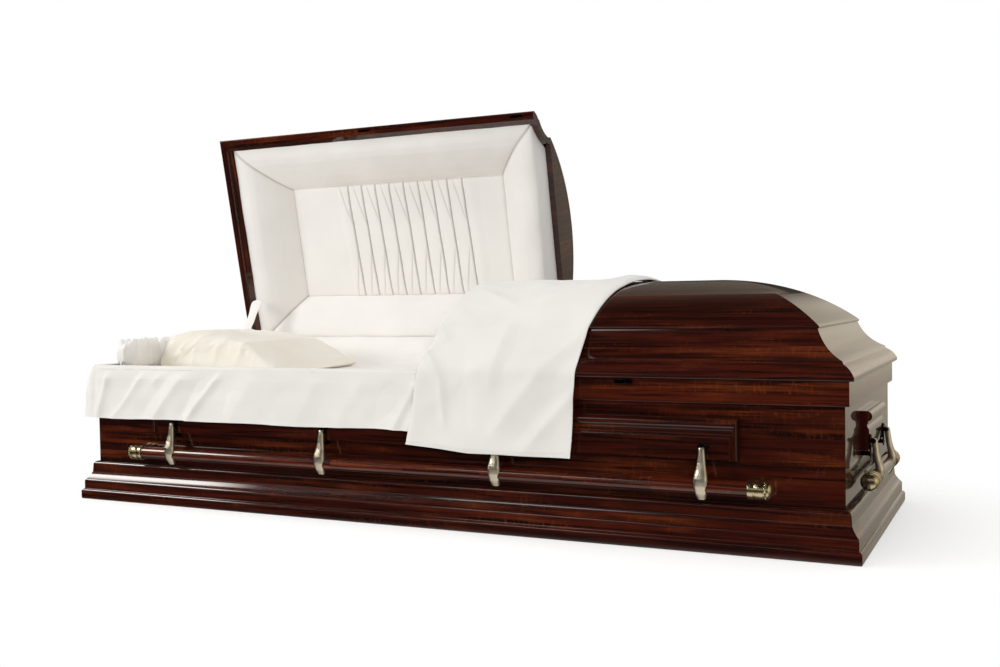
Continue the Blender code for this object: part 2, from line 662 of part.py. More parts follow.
def cushion(name, finish, base, size, across, layers, power=0.6):
    """A soft closed cushion that lies on its base: full in the middle, thin at its edges."""
    points = []
    faces = []
    for side in (1, -1):
        for row in range(layers + 1):
            v = row / layers * 2 - 1
            for column in range(across + 1):
                u = column / across * 2 - 1
                swell = (max(0.0, 1 - u ** 4) * max(0.0, 1 - v ** 4)) ** power
                x = base[0] + size[0] / 2 * u * (1 - 0.06 * v * v)
                y = base[1] + size[1] / 2 * v * (1 - 0.05 * u * u)
                height = 0.22 + 0.78 * swell if side == 1 else 0.14 * (1 - swell)
                points.append((x, y, base[2] + size[2] * height))
    row_length = across + 1
    sheet = row_length * (layers + 1)
    for level in (0, sheet):
        for row in range(layers):
            for column in range(across):
                corner = level + row * row_length + column
                faces.append((corner, corner + 1, corner + row_length + 1, corner + row_length))
    edge = list(range(row_length))
    edge += [row * row_length + across for row in range(1, layers + 1)]
    edge += [layers * row_length + column for column in range(across - 1, -1, -1)]
    edge += [row * row_length for row in range(layers - 1, 0, -1)]
    for index, corner in enumerate(edge):
        after = edge[(index + 1) % len(edge)]
        faces.append((corner, after, after + sheet, corner + sheet))
    return piece(name, finish, points, faces, smooth_angle=60)


def build_bed(cream, white):
    inset = INNER_INSET + LINING_THICKNESS + 0.003
    ease = BED_EDGE_ROUND
    bottom = BOTTOM_THICKNESS + GLUE_GAP
    levels = [(inset, bottom), (inset, BED_TOP - ease), (inset + ease * 0.3, BED_TOP - ease * 0.3),
              (inset + ease, BED_TOP)]
    sections = []
    for setback, height in levels:
        sections.append([(x, y, height) for x, y in ring_corners(setback)])
    points, faces = loft(sections, closed_path=False)
    piece("bed_mattress", cream, points, faces, smooth_angle=60)
    base = (PILLOW_SETBACK - HALF_LENGTH, 0.0, BED_TOP + GLUE_GAP)
    cushion("pillow", cream, base, (PILLOW_LENGTH, PILLOW_WIDTH, PILLOW_THICKNESS), 8, 8)

    outer = INNER_INSET + CLOTH_GAP / 2
    top = RIM_HEIGHT - LINING_TOP_DROP
    bottom = RIM_HEIGHT - LINING_DEPTH
    outline = [(outer, bottom), (outer, top), (outer + LINING_THICKNESS, top), (outer + LINING_THICKNESS, bottom)]
    lining = frame_ring("body_lining", white, outline)
    wall = -(HALF_LENGTH - outer)
    radius = ROLL_DEPTH / 2
    roll = [(wall, top - 0.010)]
    roll += [(wall + radius - x, z) for x, z in arc((0.0, RIM_HEIGHT + ROLL_RISE - radius), radius, 0, 180, 6)]
    roll.append((wall + ROLL_DEPTH, BED_TOP + 0.004))
    roll.append((wall + LINING_THICKNESS * 0.9, BED_TOP + 0.004))
    reach = (ROLL_FRONT_SETBACK - HALF_WIDTH, HALF_WIDTH - ROLL_BACK_SETBACK)
    sections = [[(x, y, z) for x, z in roll] for y in reach]
    points, faces = loft(sections, closed_path=False)
    combine(lining, piece("roll", white, points, faces), "UNION")


def build_apron(white):
    """Cloth that hangs over the rim along the front of the open half and round the head end."""
    face = RAIL_INSET - CLOTH_GAP
    skirt = WALL_INSET - PANEL_BEAD_PROUD - CLOTH_GAP
    over = RIM_HEIGHT + CLOTH_GAP
    top = RIM_HEIGHT + APRON_RISE
    clear = PANEL_TOP + 0.004
    outline = [
        (skirt, APRON_BOTTOM), (skirt - APRON_THICKNESS, APRON_BOTTOM),
        (skirt - APRON_THICKNESS, clear), (face - APRON_THICKNESS, top - 0.004),
        (face - APRON_THICKNESS * 0.4, top), (INNER_INSET - 0.001, top), (INNER_INSET - 0.001, over),
        (face, over), (face, RAIL_BOTTOM), (skirt, clear),
    ]
    back_y = HALF_WIDTH - INNER_INSET
    sections = [
        [(SPLIT_X - APRON_END_GAP, -(HALF_WIDTH - setback), height) for setback, height in outline],
        [(-(HALF_LENGTH - setback), -(HALF_WIDTH - setback), height) for setback, height in outline],
        [(-(HALF_LENGTH - setback), back_y, height) for setback, height in outline],
    ]
    points, faces = loft(sections, closed_path=False)
    piece("apron", white, points, faces)


def throw_path():
    """The line that the throw follows from its back edge over the crown, down to the lip and on to its hem."""
    lift = CLOTH_GAP + 0.002
    path = []
    steps = 7
    for step in range(steps + 1):
        y = THROW_BACK_Y + (-(HALF_WIDTH - CROWN_SETBACK) - THROW_BACK_Y) * step / steps
        path.append((y, crown_height(HALF_WIDTH - abs(y)) + lift))
    hang = HALF_WIDTH - LIP_SETBACK + lift
    path.append((-(HALF_WIDTH - CROWN_SETBACK) - lift, CROWN_SEAT + CROWN_LIP_HEIGHT))
    path.append((-(hang - 0.040), LID_BOTTOM + 0.062))
    path.append((-hang, LID_BOTTOM + LIP_HEIGHT + 0.006))
    path.append((-hang, LID_BOTTOM - 0.006))
    skirt = WALL_Y + HANG_DISTANCE + ARM_SHANK_DEPTH + THROW_CLEARANCE
    path.append((-(hang + skirt) / 2, (LID_BOTTOM + THROW_BOTTOM) / 2))
    path.append((-skirt, EAR_TOP - 0.020))
    path.append((-skirt, THROW_BOTTOM))
    return path


def build_throw(white, parent):
    """Padded cloth laid over the foot lid beside the split, hanging down the front."""
    path = throw_path()
    lid_share = 8 / (len(path) - 1)
    across = 6
    points = []
    for layer in (0, 1):
        for row, (y, z) in enumerate(path):
            before = path[max(row - 1, 0)]
            after = path[min(row + 1, len(path) - 1)]
            run = (after[0] - before[0], after[1] - before[1])
            length = math.hypot(*run)
            normal = (run[1] / length, -run[0] / length)
            share = row / (len(path) - 1)
            upper = min(1.0, share / lid_share)
            lower = max(0.0, (share - lid_share) / (1 - lid_share))
            left = THROW_LEFT_TOP + (THROW_LEFT_BOTTOM - THROW_LEFT_TOP) * lower
            right = THROW_RIGHT_TOP + (THROW_RIGHT_LIP - THROW_RIGHT_TOP) * upper
            right += (THROW_RIGHT_BOTTOM - THROW_RIGHT_LIP) * lower
            for column in range(across + 1):
                x = SPLIT_X + left + (right - left) * column / across
                push = layer * THROW_THICKNESS
                points.append((x, y - abs(normal[0]) * push, z + abs(normal[1]) * push))
    row_length = across + 1
    sheet = row_length * len(path)
    faces = []
    for level in (0, sheet):
        for row in range(len(path) - 1):
            for column in range(across):
                corner = level + row * row_length + column
                faces.append((corner, corner + 1, corner + row_length + 1, corner + row_length))
    rows = len(path) - 1
    edge = list(range(row_length))
    edge += [row * row_length + across for row in range(1, rows + 1)]
    edge += [rows * row_length + column for column in range(across - 1, -1, -1)]
    edge += [row * row_length for row in range(rows - 1, 0, -1)]
    for index, corner in enumerate(edge):
        after = edge[(index + 1) % len(edge)]
        faces.append((corner, after, after + sheet, corner + sheet))
    piece("throw", white, points, faces, parent, smooth_angle=60)


def build_lid_lining(white, parent):
    """Padded cloth tray inside the head lid: rolled borders round a flat centre panel."""
    header = HEAD_SPLIT - HEADER_THICKNESS - CLOTH_GAP
    levels = [
        (0.170, FRAME_TOP + 0.0216, header), (0.130, FRAME_TOP - 0.0055, header), (0.0915, 0.0476, header - 0.005),
        (LID_LINING_EDGE + 0.0055, 0.0251, header - 0.013), (LID_LINING_EDGE, 0.0206, header - 0.017),
        (LID_LINING_CREST * 0.85, 0.0181, header - 0.026), (LID_LINING_CREST, 0.0206, header - 0.038),
        (LID_LINING_CREST + 0.030, 0.0346, header - 0.062),
        (LID_PANEL_SETBACK, LID_PANEL_RISE, HEAD_SPLIT - LID_PANEL_SPLIT),
    ]
    sections = []
    for setback, rise, split in levels:
        height = LID_BOTTOM + rise
        y = HALF_WIDTH - setback
        x = -(HALF_LENGTH - setback)
        sections.append([(x, -y, height), (split, -y, height), (split, y, height), (x, y, height)])
    points, faces = loft(sections, closed_path=False)
    piece("lid_lining", white, points, faces, parent)


def build_stay(white):
    """Cloth-covered stay from the head lid's inner end down to the body."""
    foot, head = [
        (setback - HALF_LENGTH, HINGE_Y - before, RIM_HEIGHT + rise) for setback, before, rise in (STAY_FOOT, STAY_HEAD)
    ]
    run = [head[index] - foot[index] for index in range(3)]
    length = math.sqrt(sum(value * value for value in run))
    thin = (-run[2] / length * STAY_THICKNESS / 2, run[1] / length * STAY_THICKNESS / 2)
    sections = []
    for end in (foot, head):
        section = []
        for side, layer in ((-1, -1), (1, -1), (1, 1), (-1, 1)):
            x = end[0] + side * STAY_WIDTH / 2
            section.append((x, end[1] + layer * thin[0], end[2] + layer * thin[1]))
        sections.append(section)
    points, faces = loft(sections, closed_path=False)
    piece("lid_stay", white, points, faces)


def build():
    clear_scene()
    wood = material("mahogany", (0.115, 0.022, 0.010), 0.12)
    brass = material("antique_brass", (0.52, 0.41, 0.22), 0.28, 1.0)
    nickel = material("satin_nickel", (0.60, 0.55, 0.46), 0.32, 1.0)
    dark = material("dark_bronze", (0.030, 0.026, 0.024), 0.30, 1.0)
    white = material("white_crepe", (0.86, 0.85, 0.82), 0.85)
    cream = material("cream_crepe", (0.86, 0.82, 0.70), 0.85)

    build_body(wood)
    side_panel("front_panel", wood, -1)
    side_panel("back_panel", wood, 1)
    end_panel("head_panel", wood, -1)
    end_panel("foot_panel", wood, 1)
    head_hinge = pivot("head_lid_hinge", (0.0, HINGE_Y, HINGE_Z))
    foot_hinge = pivot("foot_lid_hinge", (0.0, HINGE_Y, HINGE_Z))
    build_lid(wood, "head", -1, HEAD_SPLIT, head_hinge)
    build_lid(wood, "foot", 1, FOOT_SPLIT, foot_hinge)
    for side in ("front", "back"):
        build_handle(side, wood, brass, nickel, dark, LENGTH - 2 * SIDE_BAR_SETBACK, SIDE_ARM_SPACING, 4)
    for side in ("head", "foot"):
        build_handle(side, wood, brass, nickel, dark, END_BAR_LENGTH, END_ARM_SPACING, 2)
    build_bed(cream, white)
    build_apron(white)
    build_throw(white, foot_hinge)
    build_lid_lining(white, head_hinge)
    build_stay(white)
    head_hinge.rotation_euler.x = -math.radians(OPEN_ANGLE)


build()
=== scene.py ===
# %% [markdown]
# # A half-couch funeral casket
# The casket is a glossy mahogany box with mitred mouldings, an arched lid in two halves, swing bar
# handles and a padded cloth lining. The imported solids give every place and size. This script keeps
# them as the frame, and dresses each one with a finer mesh or a finish of its own.

# %% Load the frame
import math

import bmesh
import bpy
import numpy as np
from mathutils import Matrix, Vector, noise


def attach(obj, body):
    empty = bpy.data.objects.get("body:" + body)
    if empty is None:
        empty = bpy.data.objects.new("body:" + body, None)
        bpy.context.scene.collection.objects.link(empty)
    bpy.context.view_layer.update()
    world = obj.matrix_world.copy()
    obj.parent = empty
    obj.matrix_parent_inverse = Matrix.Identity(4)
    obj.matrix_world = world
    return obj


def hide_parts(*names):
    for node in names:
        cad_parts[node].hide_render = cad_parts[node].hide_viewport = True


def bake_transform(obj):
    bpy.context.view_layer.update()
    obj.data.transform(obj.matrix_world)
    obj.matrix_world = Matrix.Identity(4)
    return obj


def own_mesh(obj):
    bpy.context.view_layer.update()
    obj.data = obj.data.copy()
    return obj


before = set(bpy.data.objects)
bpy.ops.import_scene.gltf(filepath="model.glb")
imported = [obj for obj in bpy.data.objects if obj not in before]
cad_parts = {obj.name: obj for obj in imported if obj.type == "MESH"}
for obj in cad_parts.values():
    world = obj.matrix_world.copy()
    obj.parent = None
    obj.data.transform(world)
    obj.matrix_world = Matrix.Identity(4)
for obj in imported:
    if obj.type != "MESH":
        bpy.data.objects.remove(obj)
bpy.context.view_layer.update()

# %% [markdown]
# ## Sizes
# The solids follow a few driving sizes, and the finer meshes follow the same ones. They are in
# metres, with setbacks measured in from the outer edge of the base moulding. Longer tables are
# given in millimetres and turned into metres.

# %% Sizes of the body and lids


def metres(*rows):
    """Rows of numbers given in millimetres, as an array in metres."""
    return np.round(np.array(rows) / 1000, 9)


HALF_LENGTH = 1.065
HALF_WIDTH = 0.3825
GLUE_GAP = 0.0003
WALL_INSET = 0.0375
INNER_INSET = 0.0565
WALL_X = HALF_LENGTH - WALL_INSET
WALL_Y = HALF_WIDTH - WALL_INSET
RAIL_INSET = 0.0275
RAIL_BOTTOM = 0.317
RIM_HEIGHT = 0.3685
BASE_HEIGHT = 0.1045
PANEL_TOP = 0.286
PANEL_BOTTOM = 0.197
PANEL_HALF = 0.811
LID_BOTTOM = 0.3694
CROWN_SEAT = 0.4744
CROWN_TOP = 0.5839
LIP_SETBACK = 0.0165
CROWN_SETBACK = 0.0988
HEAD_SPLIT = 0.084
FOOT_SPLIT = 0.086
HINGE = Vector((0.0, 0.3634, 0.3615))
OPEN_ANGLE = math.radians(78.65)
OPEN_TURN = Matrix.Translation(HINGE) @ Matrix.Rotation(-OPEN_ANGLE, 4, "X") @ Matrix.Translation(-HINGE)

# %% [markdown]
# ## Camera
# The camera was fitted to the straight wooden edges of the photograph. Its place and its three
# turns come from that fit, so that each moulding falls where the photograph has it.

# %% Camera
FOCAL = 1112.4061
YAW = 0.4545
PITCH = 0.0343
ROLL = -0.0171


def fitted_camera():
    ahead = Vector((-math.sin(YAW) * math.cos(PITCH), math.cos(YAW) * math.cos(PITCH), -math.sin(PITCH)))
    level = Vector((math.cos(YAW), math.sin(YAW), 0.0))
    upright = level.cross(ahead)
    right = math.cos(ROLL) * level + math.sin(ROLL) * upright
    up = math.cos(ROLL) * upright - math.sin(ROLL) * level
    camera = bpy.data.objects.new("camera", bpy.data.cameras.new("camera"))
    bpy.context.collection.objects.link(camera)
    turn = Matrix((right, up, -ahead)).transposed().to_4x4()
    camera.matrix_world = Matrix.Translation((1.3899, -2.6817, 0.5557)) @ turn
    camera.data.sensor_width = 36.0
    camera.data.lens = FOCAL * 36.0 / 1000
    camera.data.clip_start = 0.05
    return camera


bpy.context.scene.camera = fitted_camera()
print("camera lens", round(bpy.context.scene.camera.data.lens, 2))

# %% [markdown]
# ## Shader maths in Python
# A finish is a small graph of nodes. Wrapping a socket in a class lets the graph be written as
# sums, and each sum adds its own Math node.

# %% Shader helper


class Signal:
    """A socket of one material that takes part in Python expressions."""

    def __init__(self, graph, socket):
        self.graph = graph
        self.socket = socket

    def math(self, kind, *others):
        return self.graph.node("ShaderNodeMath", {"operation": kind}, {0: self, **dict(enumerate(others, 1))})

    def __add__(self, other):
        return self.math("ADD", other)

    def __mul__(self, other):
        return self.math("MULTIPLY", other)

    def __sub__(self, other):
        return self.math("SUBTRACT", other)

    def __truediv__(self, other):
        return self.math("DIVIDE", other)

    def ramp(self, low, high, to_low=0.0, to_high=1.0):
        """A smooth step between two levels."""
        inputs = {"Value": self, "From Min": low, "From Max": high, "To Min": to_low, "To Max": to_high}
        return self.graph.node("ShaderNodeMapRange", {"interpolation_type": "SMOOTHSTEP"}, inputs, "Result")

    __radd__ = __add__
    __rmul__ = __mul__


class Graph:
    """A node tree and the one method that adds nodes to it."""

    def __init__(self, tree):
        self.tree = tree

    def node(self, kind, settings, inputs, output=0):
        made = self.tree.nodes.new(kind)
        for key, value in settings.items():
            setattr(made, key, value)
        for key, value in inputs.items():
            self.feed(made.inputs[key], value)
        return Signal(self, made.outputs[output]) if len(made.outputs) else None

    def feed(self, socket, value):
        if isinstance(value, Signal):
            self.tree.links.new(value.socket, socket)
        else:
            socket.default_value = value

    def mix(self, factor, first, second, blend="MIX"):
        settings = {"data_type": "RGBA", "blend_type": blend}
        return self.node("ShaderNodeMix", settings, {0: factor, 6: first, 7: second}, 2)

    def noise(self, vector, scale, detail=3.0, rough=0.5, distortion=0.0):
        inputs = {"Vector": vector, "Scale": scale, "Detail": detail, "Roughness": rough}
        inputs["Distortion"] = distortion
        return self.node("ShaderNodeTexNoise", {}, inputs, "Fac")


class Finish(Graph):
    """A material with its shader."""

    def __init__(self, name):
        self.material = bpy.data.materials.new(name)
        self.material.use_nodes = True
        super().__init__(self.material.node_tree)
        self.shader = self.tree.nodes["Principled BSDF"]

    def set(self, **values):
        for key, value in values.items():
            self.feed(self.shader.inputs[key.replace("_", " ")], value)
        return self

    def coordinate(self, kind="Object", scale=(1.0, 1.0, 1.0)):
        if kind == "Object":
            source = self.node("ShaderNodeTexCoord", {}, {}, "Object")
        else:
            source = self.node("ShaderNodeUVMap", {"uv_map": kind}, {})
        return self.node("ShaderNodeMapping", {}, {"Vector": source, "Scale": scale})

    def bump(self, height, distance, strength=1.0, normal=None):
        inputs = {"Height": height, "Distance": distance, "Strength": strength}
        if normal is not None:
            inputs["Normal"] = normal
        return self.node("ShaderNodeBump", {}, inputs)


def tone(red, green, blue):
    return (red, green, blue, 1.0)


# %% [markdown]
# ## Mahogany
# The wood is a red-brown stain under thick clear lacquer. The stain runs in long streaks with
# orange-brown patches and a short ripple across the grain, and the boards are glued from strips
# of slightly different tone. A map named grain lies along each piece in metres, so the streaks
# follow the board, and the clear coat gives the mirror-like gloss.

# %% Mahogany finish
STRIP_WIDTH = 0.055


def mahogany(name, deep, warm, amber):
    wood = Finish(name)
    grain = wood.coordinate("grain")
    along, across = (wood.node("ShaderNodeSeparateXYZ", {}, {"Vector": grain}, axis) for axis in "XY")
    strip = (across / STRIP_WIDTH).math("FLOOR")
    shift = wood.node("ShaderNodeTexWhiteNoise", {"noise_dimensions": "1D"}, {"W": strip}, "Value")
    board = wood.node("ShaderNodeCombineXYZ", {}, {"X": along + shift * 5.0, "Y": across, "Z": shift * 3.0})
    streaked, fine, patchy, ripple = (
        wood.node("ShaderNodeMapping", {}, {"Vector": board, "Scale": (*scale, 1.0)})
        for scale in ((3.0, 95.0), (14.0, 620.0), (3.4, 15.0), (150.0, 42.0)))
    streaks = wood.noise(streaked, 1.0, 5.0, 0.62, distortion=0.6)
    pores = wood.noise(fine, 1.0, 3.0, 0.6)
    patches = wood.noise(patchy, 1.0, 4.0, 0.55)
    figure = wood.noise(ripple, 1.0, 2.0, 0.5)
    base = wood.mix(streaks.ramp(0.36, 0.66), deep, warm)
    glow = (patches.ramp(0.46, 0.7) * streaks.ramp(0.4, 0.6)) * 0.5
    base = wood.mix(glow, base, amber)
    base = wood.mix(pores.ramp(0.5, 0.7) * 0.55, base, deep)
    base = wood.mix(figure.ramp(0.52, 0.74) * patches.ramp(0.46, 0.66) * 0.4, base, amber)
    shade = (shift - 0.5) * 0.42 + 1.0
    tinted = wood.node("ShaderNodeCombineColor", {}, {"Red": shade, "Green": shade, "Blue": shade})
    base = wood.mix(1.0, base, tinted, "MULTIPLY")
    lacquer = wood.noise(wood.coordinate("Object", (1.0, 1.0, 1.0)), 9.0, 2.0, 0.5)
    grainy = wood.bump(streaks * 0.5 + pores * 0.5, 0.00005, 0.25)
    film = wood.bump(lacquer, 0.0005, 0.1, grainy)
    wood.set(Base_Color=base, Roughness=pores.ramp(0.3, 0.8, 0.3, 0.42), Normal=film)
    wood.set(Coat_Weight=1.0, Coat_Roughness=0.035, Coat_IOR=1.55, IOR=1.5, Specular_IOR_Level=0.12)
    return wood.material


MAHOGANY = mahogany(
    "mahogany", tone(0.0115, 0.002, 0.0011), tone(0.052, 0.0058, 0.0018), tone(0.17, 0.033, 0.006))
RAIL_WOOD = mahogany(
    "mahogany_rail", tone(0.018, 0.0025, 0.001), tone(0.078, 0.0105, 0.0028), tone(0.2, 0.04, 0.007))
print("finish", MAHOGANY.name, RAIL_WOOD.name)

# %% [markdown]
# ## Metals
# The bar tips are lacquered antique brass, the arms warm satin nickel, and the ears nearly black
# bronze with scattered lighter speckles where the plating is rubbed. Each is one metallic shader
# with a little fine noise in its roughness, so that it isn't a perfect mirror.

# %% Metal finishes


def metal(name, color, worn, rough, scale=160.0, wear=0.15, relief=0.00002):
    plate = Finish(name)
    place = plate.coordinate("Object")
    cloudy = plate.noise(place, scale, 4.0, 0.6)
    broad = plate.noise(place, scale * 0.22, 2.0, 0.5)
    base = plate.mix(cloudy.ramp(0.45, 0.75) * wear, color, worn)
    surface = plate.bump(broad, relief, 0.6)
    haze = cloudy.ramp(0.3, 0.8, rough, rough + 0.06)
    plate.set(Base_Color=base, Metallic=1.0, Roughness=haze, Normal=surface)
    return plate.material


BRASS = metal("antique_brass", tone(0.74, 0.63, 0.38), tone(0.42, 0.32, 0.15), 0.24)
NICKEL = metal("satin_nickel", tone(0.88, 0.79, 0.63), tone(0.7, 0.6, 0.44), 0.38)
BRONZE = metal("dark_bronze", tone(0.022, 0.019, 0.018), tone(0.09, 0.08, 0.07), 0.16, 90.0, 0.3, 0.0002)
GROOVE = metal("groove_shadow", tone(0.06, 0.045, 0.025), tone(0.02, 0.015, 0.01), 0.4)

# %% [markdown]
# ## Cloth
# The lining is a matt crepe, white on the lids and apron and cream inside the body. A crossed
# weave gives the fine bump, and a slow change of tone keeps wide areas from looking flat. A point
# map darkens the bottoms of seams and pleats, where cloth meets cloth: this is painted shade.

# %% Cloth finishes


def crepe(name, light, dark, thread=1500.0, relief=0.00022):
    cloth = Finish(name)
    place = cloth.coordinate("Object")
    apart = {axis: cloth.node("ShaderNodeSeparateXYZ", {}, {"Vector": place}, axis) for axis in "XYZ"}
    warp = ((apart["X"] + apart["Y"]) * thread).math("SINE")
    weft = ((apart["Z"] + apart["Y"] * 0.5) * thread).math("SINE")
    crinkle = cloth.noise(place, 420.0, 3.0, 0.6)
    soft = cloth.noise(place, 5.0, 3.0, 0.5)
    woven = warp * weft * 0.25 + crinkle
    base = cloth.mix(soft.ramp(0.35, 0.7), light, dark)
    # Painted shade: a point map darkens the cloth towards grey-brown in seams and pleat bottoms.
    crease_shade = cloth.node("ShaderNodeAttribute", {"attribute_name": "crease_shade"}, {}, "Fac")
    base = cloth.mix(crease_shade, base, tone(0.42, 0.38, 0.33))
    slack = cloth.bump(soft, 0.002, 0.25)
    cloth.set(Base_Color=base, Roughness=0.82, Normal=cloth.bump(woven, relief, 0.55, slack))
    cloth.set(Sheen_Weight=0.25, Sheen_Roughness=0.45, Specular_IOR_Level=0.25)
    return cloth.material


WHITE = crepe("white_crepe", tone(0.92, 0.895, 0.86), tone(0.885, 0.86, 0.825))
CREAM = crepe("cream_crepe", tone(0.9, 0.865, 0.78), tone(0.87, 0.82, 0.71))
# A dimmer copy of the white crepe for the apron and the throw: painted shade on the same cloth.
SHADED_WHITE = crepe("white_crepe_shaded", tone(0.84, 0.82, 0.785), tone(0.805, 0.785, 0.75))
print("finish", WHITE.name, SHADED_WHITE.name, CREAM.name)

# %% [markdown]
# ## Meshes from sections
# Most wooden pieces are a moulding: one profile swept along straight runs and mitred where they
# meet. The helper joins the sections with faces, and writes the grain map from the distances along
# each run and round the profile.

# %% Mesh helpers
MERGE_DISTANCE = 1e-6
RUN_SHIFT = 3.7


def placed(name, data):
    """An object for a mesh or a lamp, linked to the scene."""
    thing = bpy.data.objects.new(name, data)
    bpy.context.collection.objects.link(thing)
    return thing


def dress(piece, body, finish, *nodes):
    if body:
        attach(piece, body)
    if nodes:
        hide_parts(*nodes)
    return piece


def mesh_of(name, shape):
    """The mesh of a finished bmesh."""
    mesh = bpy.data.meshes.new(name)
    shape.to_mesh(mesh)
    shape.free()
    return mesh


def modify(piece, kind, **settings):
    """Add one modifier and give it its settings."""
    added = piece.modifiers.new(kind.lower(), kind)
    for key, value in settings.items():
        setattr(added, key, value)
    return added


def new_piece(name, points, faces, finish, grain=None, smooth=32.0):
    """A mesh object from points and faces, with its grain map given for each face corner."""
    mesh = bpy.data.meshes.new(name)
    mesh.from_pydata([tuple(point) for point in points], [], [tuple(face) for face in faces])
    if grain is not None:
        layer = mesh.uv_layers.new(name="grain")
        layer.data.foreach_set("uv", np.asarray(grain, dtype=np.float32).ravel())
    mesh.materials.append(finish)
    mesh.shade_smooth()
    mesh.set_sharp_from_angle(angle=math.radians(smooth))
    mesh.update()
    return placed(name, mesh)


def face_outwards(piece):
    """Merge doubled points and turn all faces of a closed mesh outwards."""
    shape = bmesh.new()
    shape.from_mesh(piece.data)
    bmesh.ops.remove_doubles(shape, verts=shape.verts, dist=MERGE_DISTANCE)
    bmesh.ops.recalc_face_normals(shape, faces=shape.faces)
    shape.to_mesh(piece.data)
    shape.free()
    return piece


def sweep(name, sections, finish, ring, start=0.0, smooth=32.0, skip=None):
    """Faces between matching closed sections; each run has its own stretch of grain."""
    count = len(sections[0])
    points = [Vector(point) for section in sections for point in section]
    girth = [0.0]
    for index in range(count):
        girth.append(girth[-1] + (points[(index + 1) % count] - points[index]).length)
    faces = []
    grain = []
    runs = len(sections) if ring else len(sections) - 1
    for run in range(runs):
        here = run * count
        there = (run + 1) % len(sections) * count
        middle = sum((points[there + i] - points[here + i] for i in range(count)), Vector())
        direction = middle.normalized()
        for index in range(count):
            if index == skip:
                continue
            after = (index + 1) % count
            face = (here + index, here + after, there + after, there + index)
            faces.append(face)
            rounds = (girth[index], girth[index + 1], girth[index + 1], girth[index])
            for corner, around in zip(face, rounds):
                grain.append((points[corner].dot(direction) + start + run * RUN_SHIFT, around + start))
    if not ring:
        for base in (0, (len(sections) - 1) * count):
            face = tuple(range(base, base + count))
            faces.append(face)
            origin = points[base]
            for corner in face:
                offset = points[corner] - origin
                grain.append((offset.z + start + 9.0, offset.x + offset.y))
    return face_outwards(new_piece(name, points, faces, finish, grain, smooth))


def along_table(distance, table):
    """Values of a table (distance, value, ...) at each distance, one array for each value."""
    rows = np.array(table)
    return [np.interp(distance, rows[:, 0], rows[:, k]) for k in range(1, rows.shape[1])]


def arc(centre, radius, start, end, steps):
    """Points on a circle between two angles in degrees."""
    turns = np.radians(np.linspace(start, end, steps + 1))
    return [(centre[0] + radius * math.cos(t), centre[1] + radius * math.sin(t)) for t in turns]


def bow(start, end, rise, steps):
    """Points on a shallow curve pushed to the left of the line from start to end."""
    begin = Vector(start)
    run = Vector(end) - begin
    side = Vector((-run.y, run.x)).normalized()
    shares = [step / steps for step in range(steps + 1)]
    return [tuple(begin + run * t + side * (4 * rise * t * (1 - t))) for t in shares]


def corners(setback):
    x = HALF_LENGTH - setback
    y = HALF_WIDTH - setback
    return [(-x, -y), (x, -y), (x, y), (-x, y)]


def ring_moulding(name, outline, finish, start):
    sections = [[(*corners(setback)[k], height) for setback, height in outline] for k in range(4)]
    piece = sweep(name + "_wood", sections, finish, True, start)
    return dress(piece, "casket_body", finish, name)


# %% [markdown]
# ## Base moulding and rim rail
# The base stacks a rounded plinth, a bead, a sloping shoulder and a fascia with a rounded top.
# Fine steps in each round matter here, because the lacquer shows every facet as a broken highlight.

# %% Base moulding and rim rail


def base_outline():
    outline = [(WALL_INSET - GLUE_GAP, 0.0), (0.0028, 0.0), (0.0008, 0.0012), (0.0, 0.004)]
    outline += arc((0.008, 0.02), 0.008, 180, 105, 12)
    outline += [(0.0066, 0.0288), (0.0068, 0.0305)]
    shoulder = arc((0.0068 + 0.0095, 0.048), 0.0095, 180, 132, 10)
    outline += shoulder
    outline += bow(shoulder[-1], (0.0226, 0.0745), -0.0012, 8)[1:]
    outline += [(0.0228, 0.0765)]
    outline += arc((0.024 + 0.01, BASE_HEIGHT - 0.01), 0.01, 180, 90, 12)
    outline.append((WALL_INSET - GLUE_GAP, BASE_HEIGHT))
    return outline


def rail_outline():
    ease = 0.0016
    outline = arc((RAIL_INSET + ease, RAIL_BOTTOM + ease), ease, 270, 180, 4)
    outline += arc((RAIL_INSET + ease, RIM_HEIGHT - ease), ease, 180, 90, 4)
    outline += [(INNER_INSET, RIM_HEIGHT), (INNER_INSET, RAIL_BOTTOM)]
    return outline


base_moulding = ring_moulding("base_moulding", base_outline(), MAHOGANY, 1.3)
ring_moulding("rim_rail", rail_outline(), RAIL_WOOD, 4.1)
print("base moulding points", len(base_moulding.data.vertices))

# %% [markdown]
# ## Walls
# The four boards stay flat, so the solids' own places are enough. They are made again only to
# carry a grain map that runs along each board.

# %% Walls


def wall_board(side, start):
    high = RAIL_BOTTOM - GLUE_GAP
    section = ((WALL_INSET, 0.0), (INNER_INSET, 0.0), (INNER_INSET, high), (WALL_INSET, high))
    facing = -1 if side in ("front", "head") else 1
    sections = []
    for end in (-1, 1):
        if side in ("front", "back"):
            points = [(end * (HALF_LENGTH - s - GLUE_GAP), facing * (HALF_WIDTH - s), z) for s, z in section]
        else:
            points = [(facing * (HALF_LENGTH - s), end * (HALF_WIDTH - s - GLUE_GAP), z) for s, z in section]
        sections.append(points)
    board = sweep(side + "_wall_wood", sections, MAHOGANY, False, start)
    dress(board, "casket_body", MAHOGANY, side + "_wall")


for number, side in enumerate(("front", "back", "head", "foot")):
    wall_board(side, 11.0 + 2.3 * number)

# %% [markdown]
# ## Raised panels
# Each long panel has a bead, a cove and a step along its top that turn down its ends. Those on
# the ends are cut square, so that their section shows.

# %% Raised panels


def panel_profile():
    """Setback from the panel's edge and how far it stands proud of the wall."""
    profile = [(0.0, 0.0)]
    profile += arc((0.0122, 0.0104), 0.0122, 180, 38, 16)
    profile += bow(profile[-1], (0.0275, 0.0124), -0.0016, 6)[1:]
    profile += bow((0.0275, 0.0124), (0.0352, 0.012), -0.0006, 4)[1:]
    profile += bow((0.0352, 0.012), (0.042, 0.0158), 0.0004, 5)[1:]
    profile.append((0.043, 0.016))
    return profile


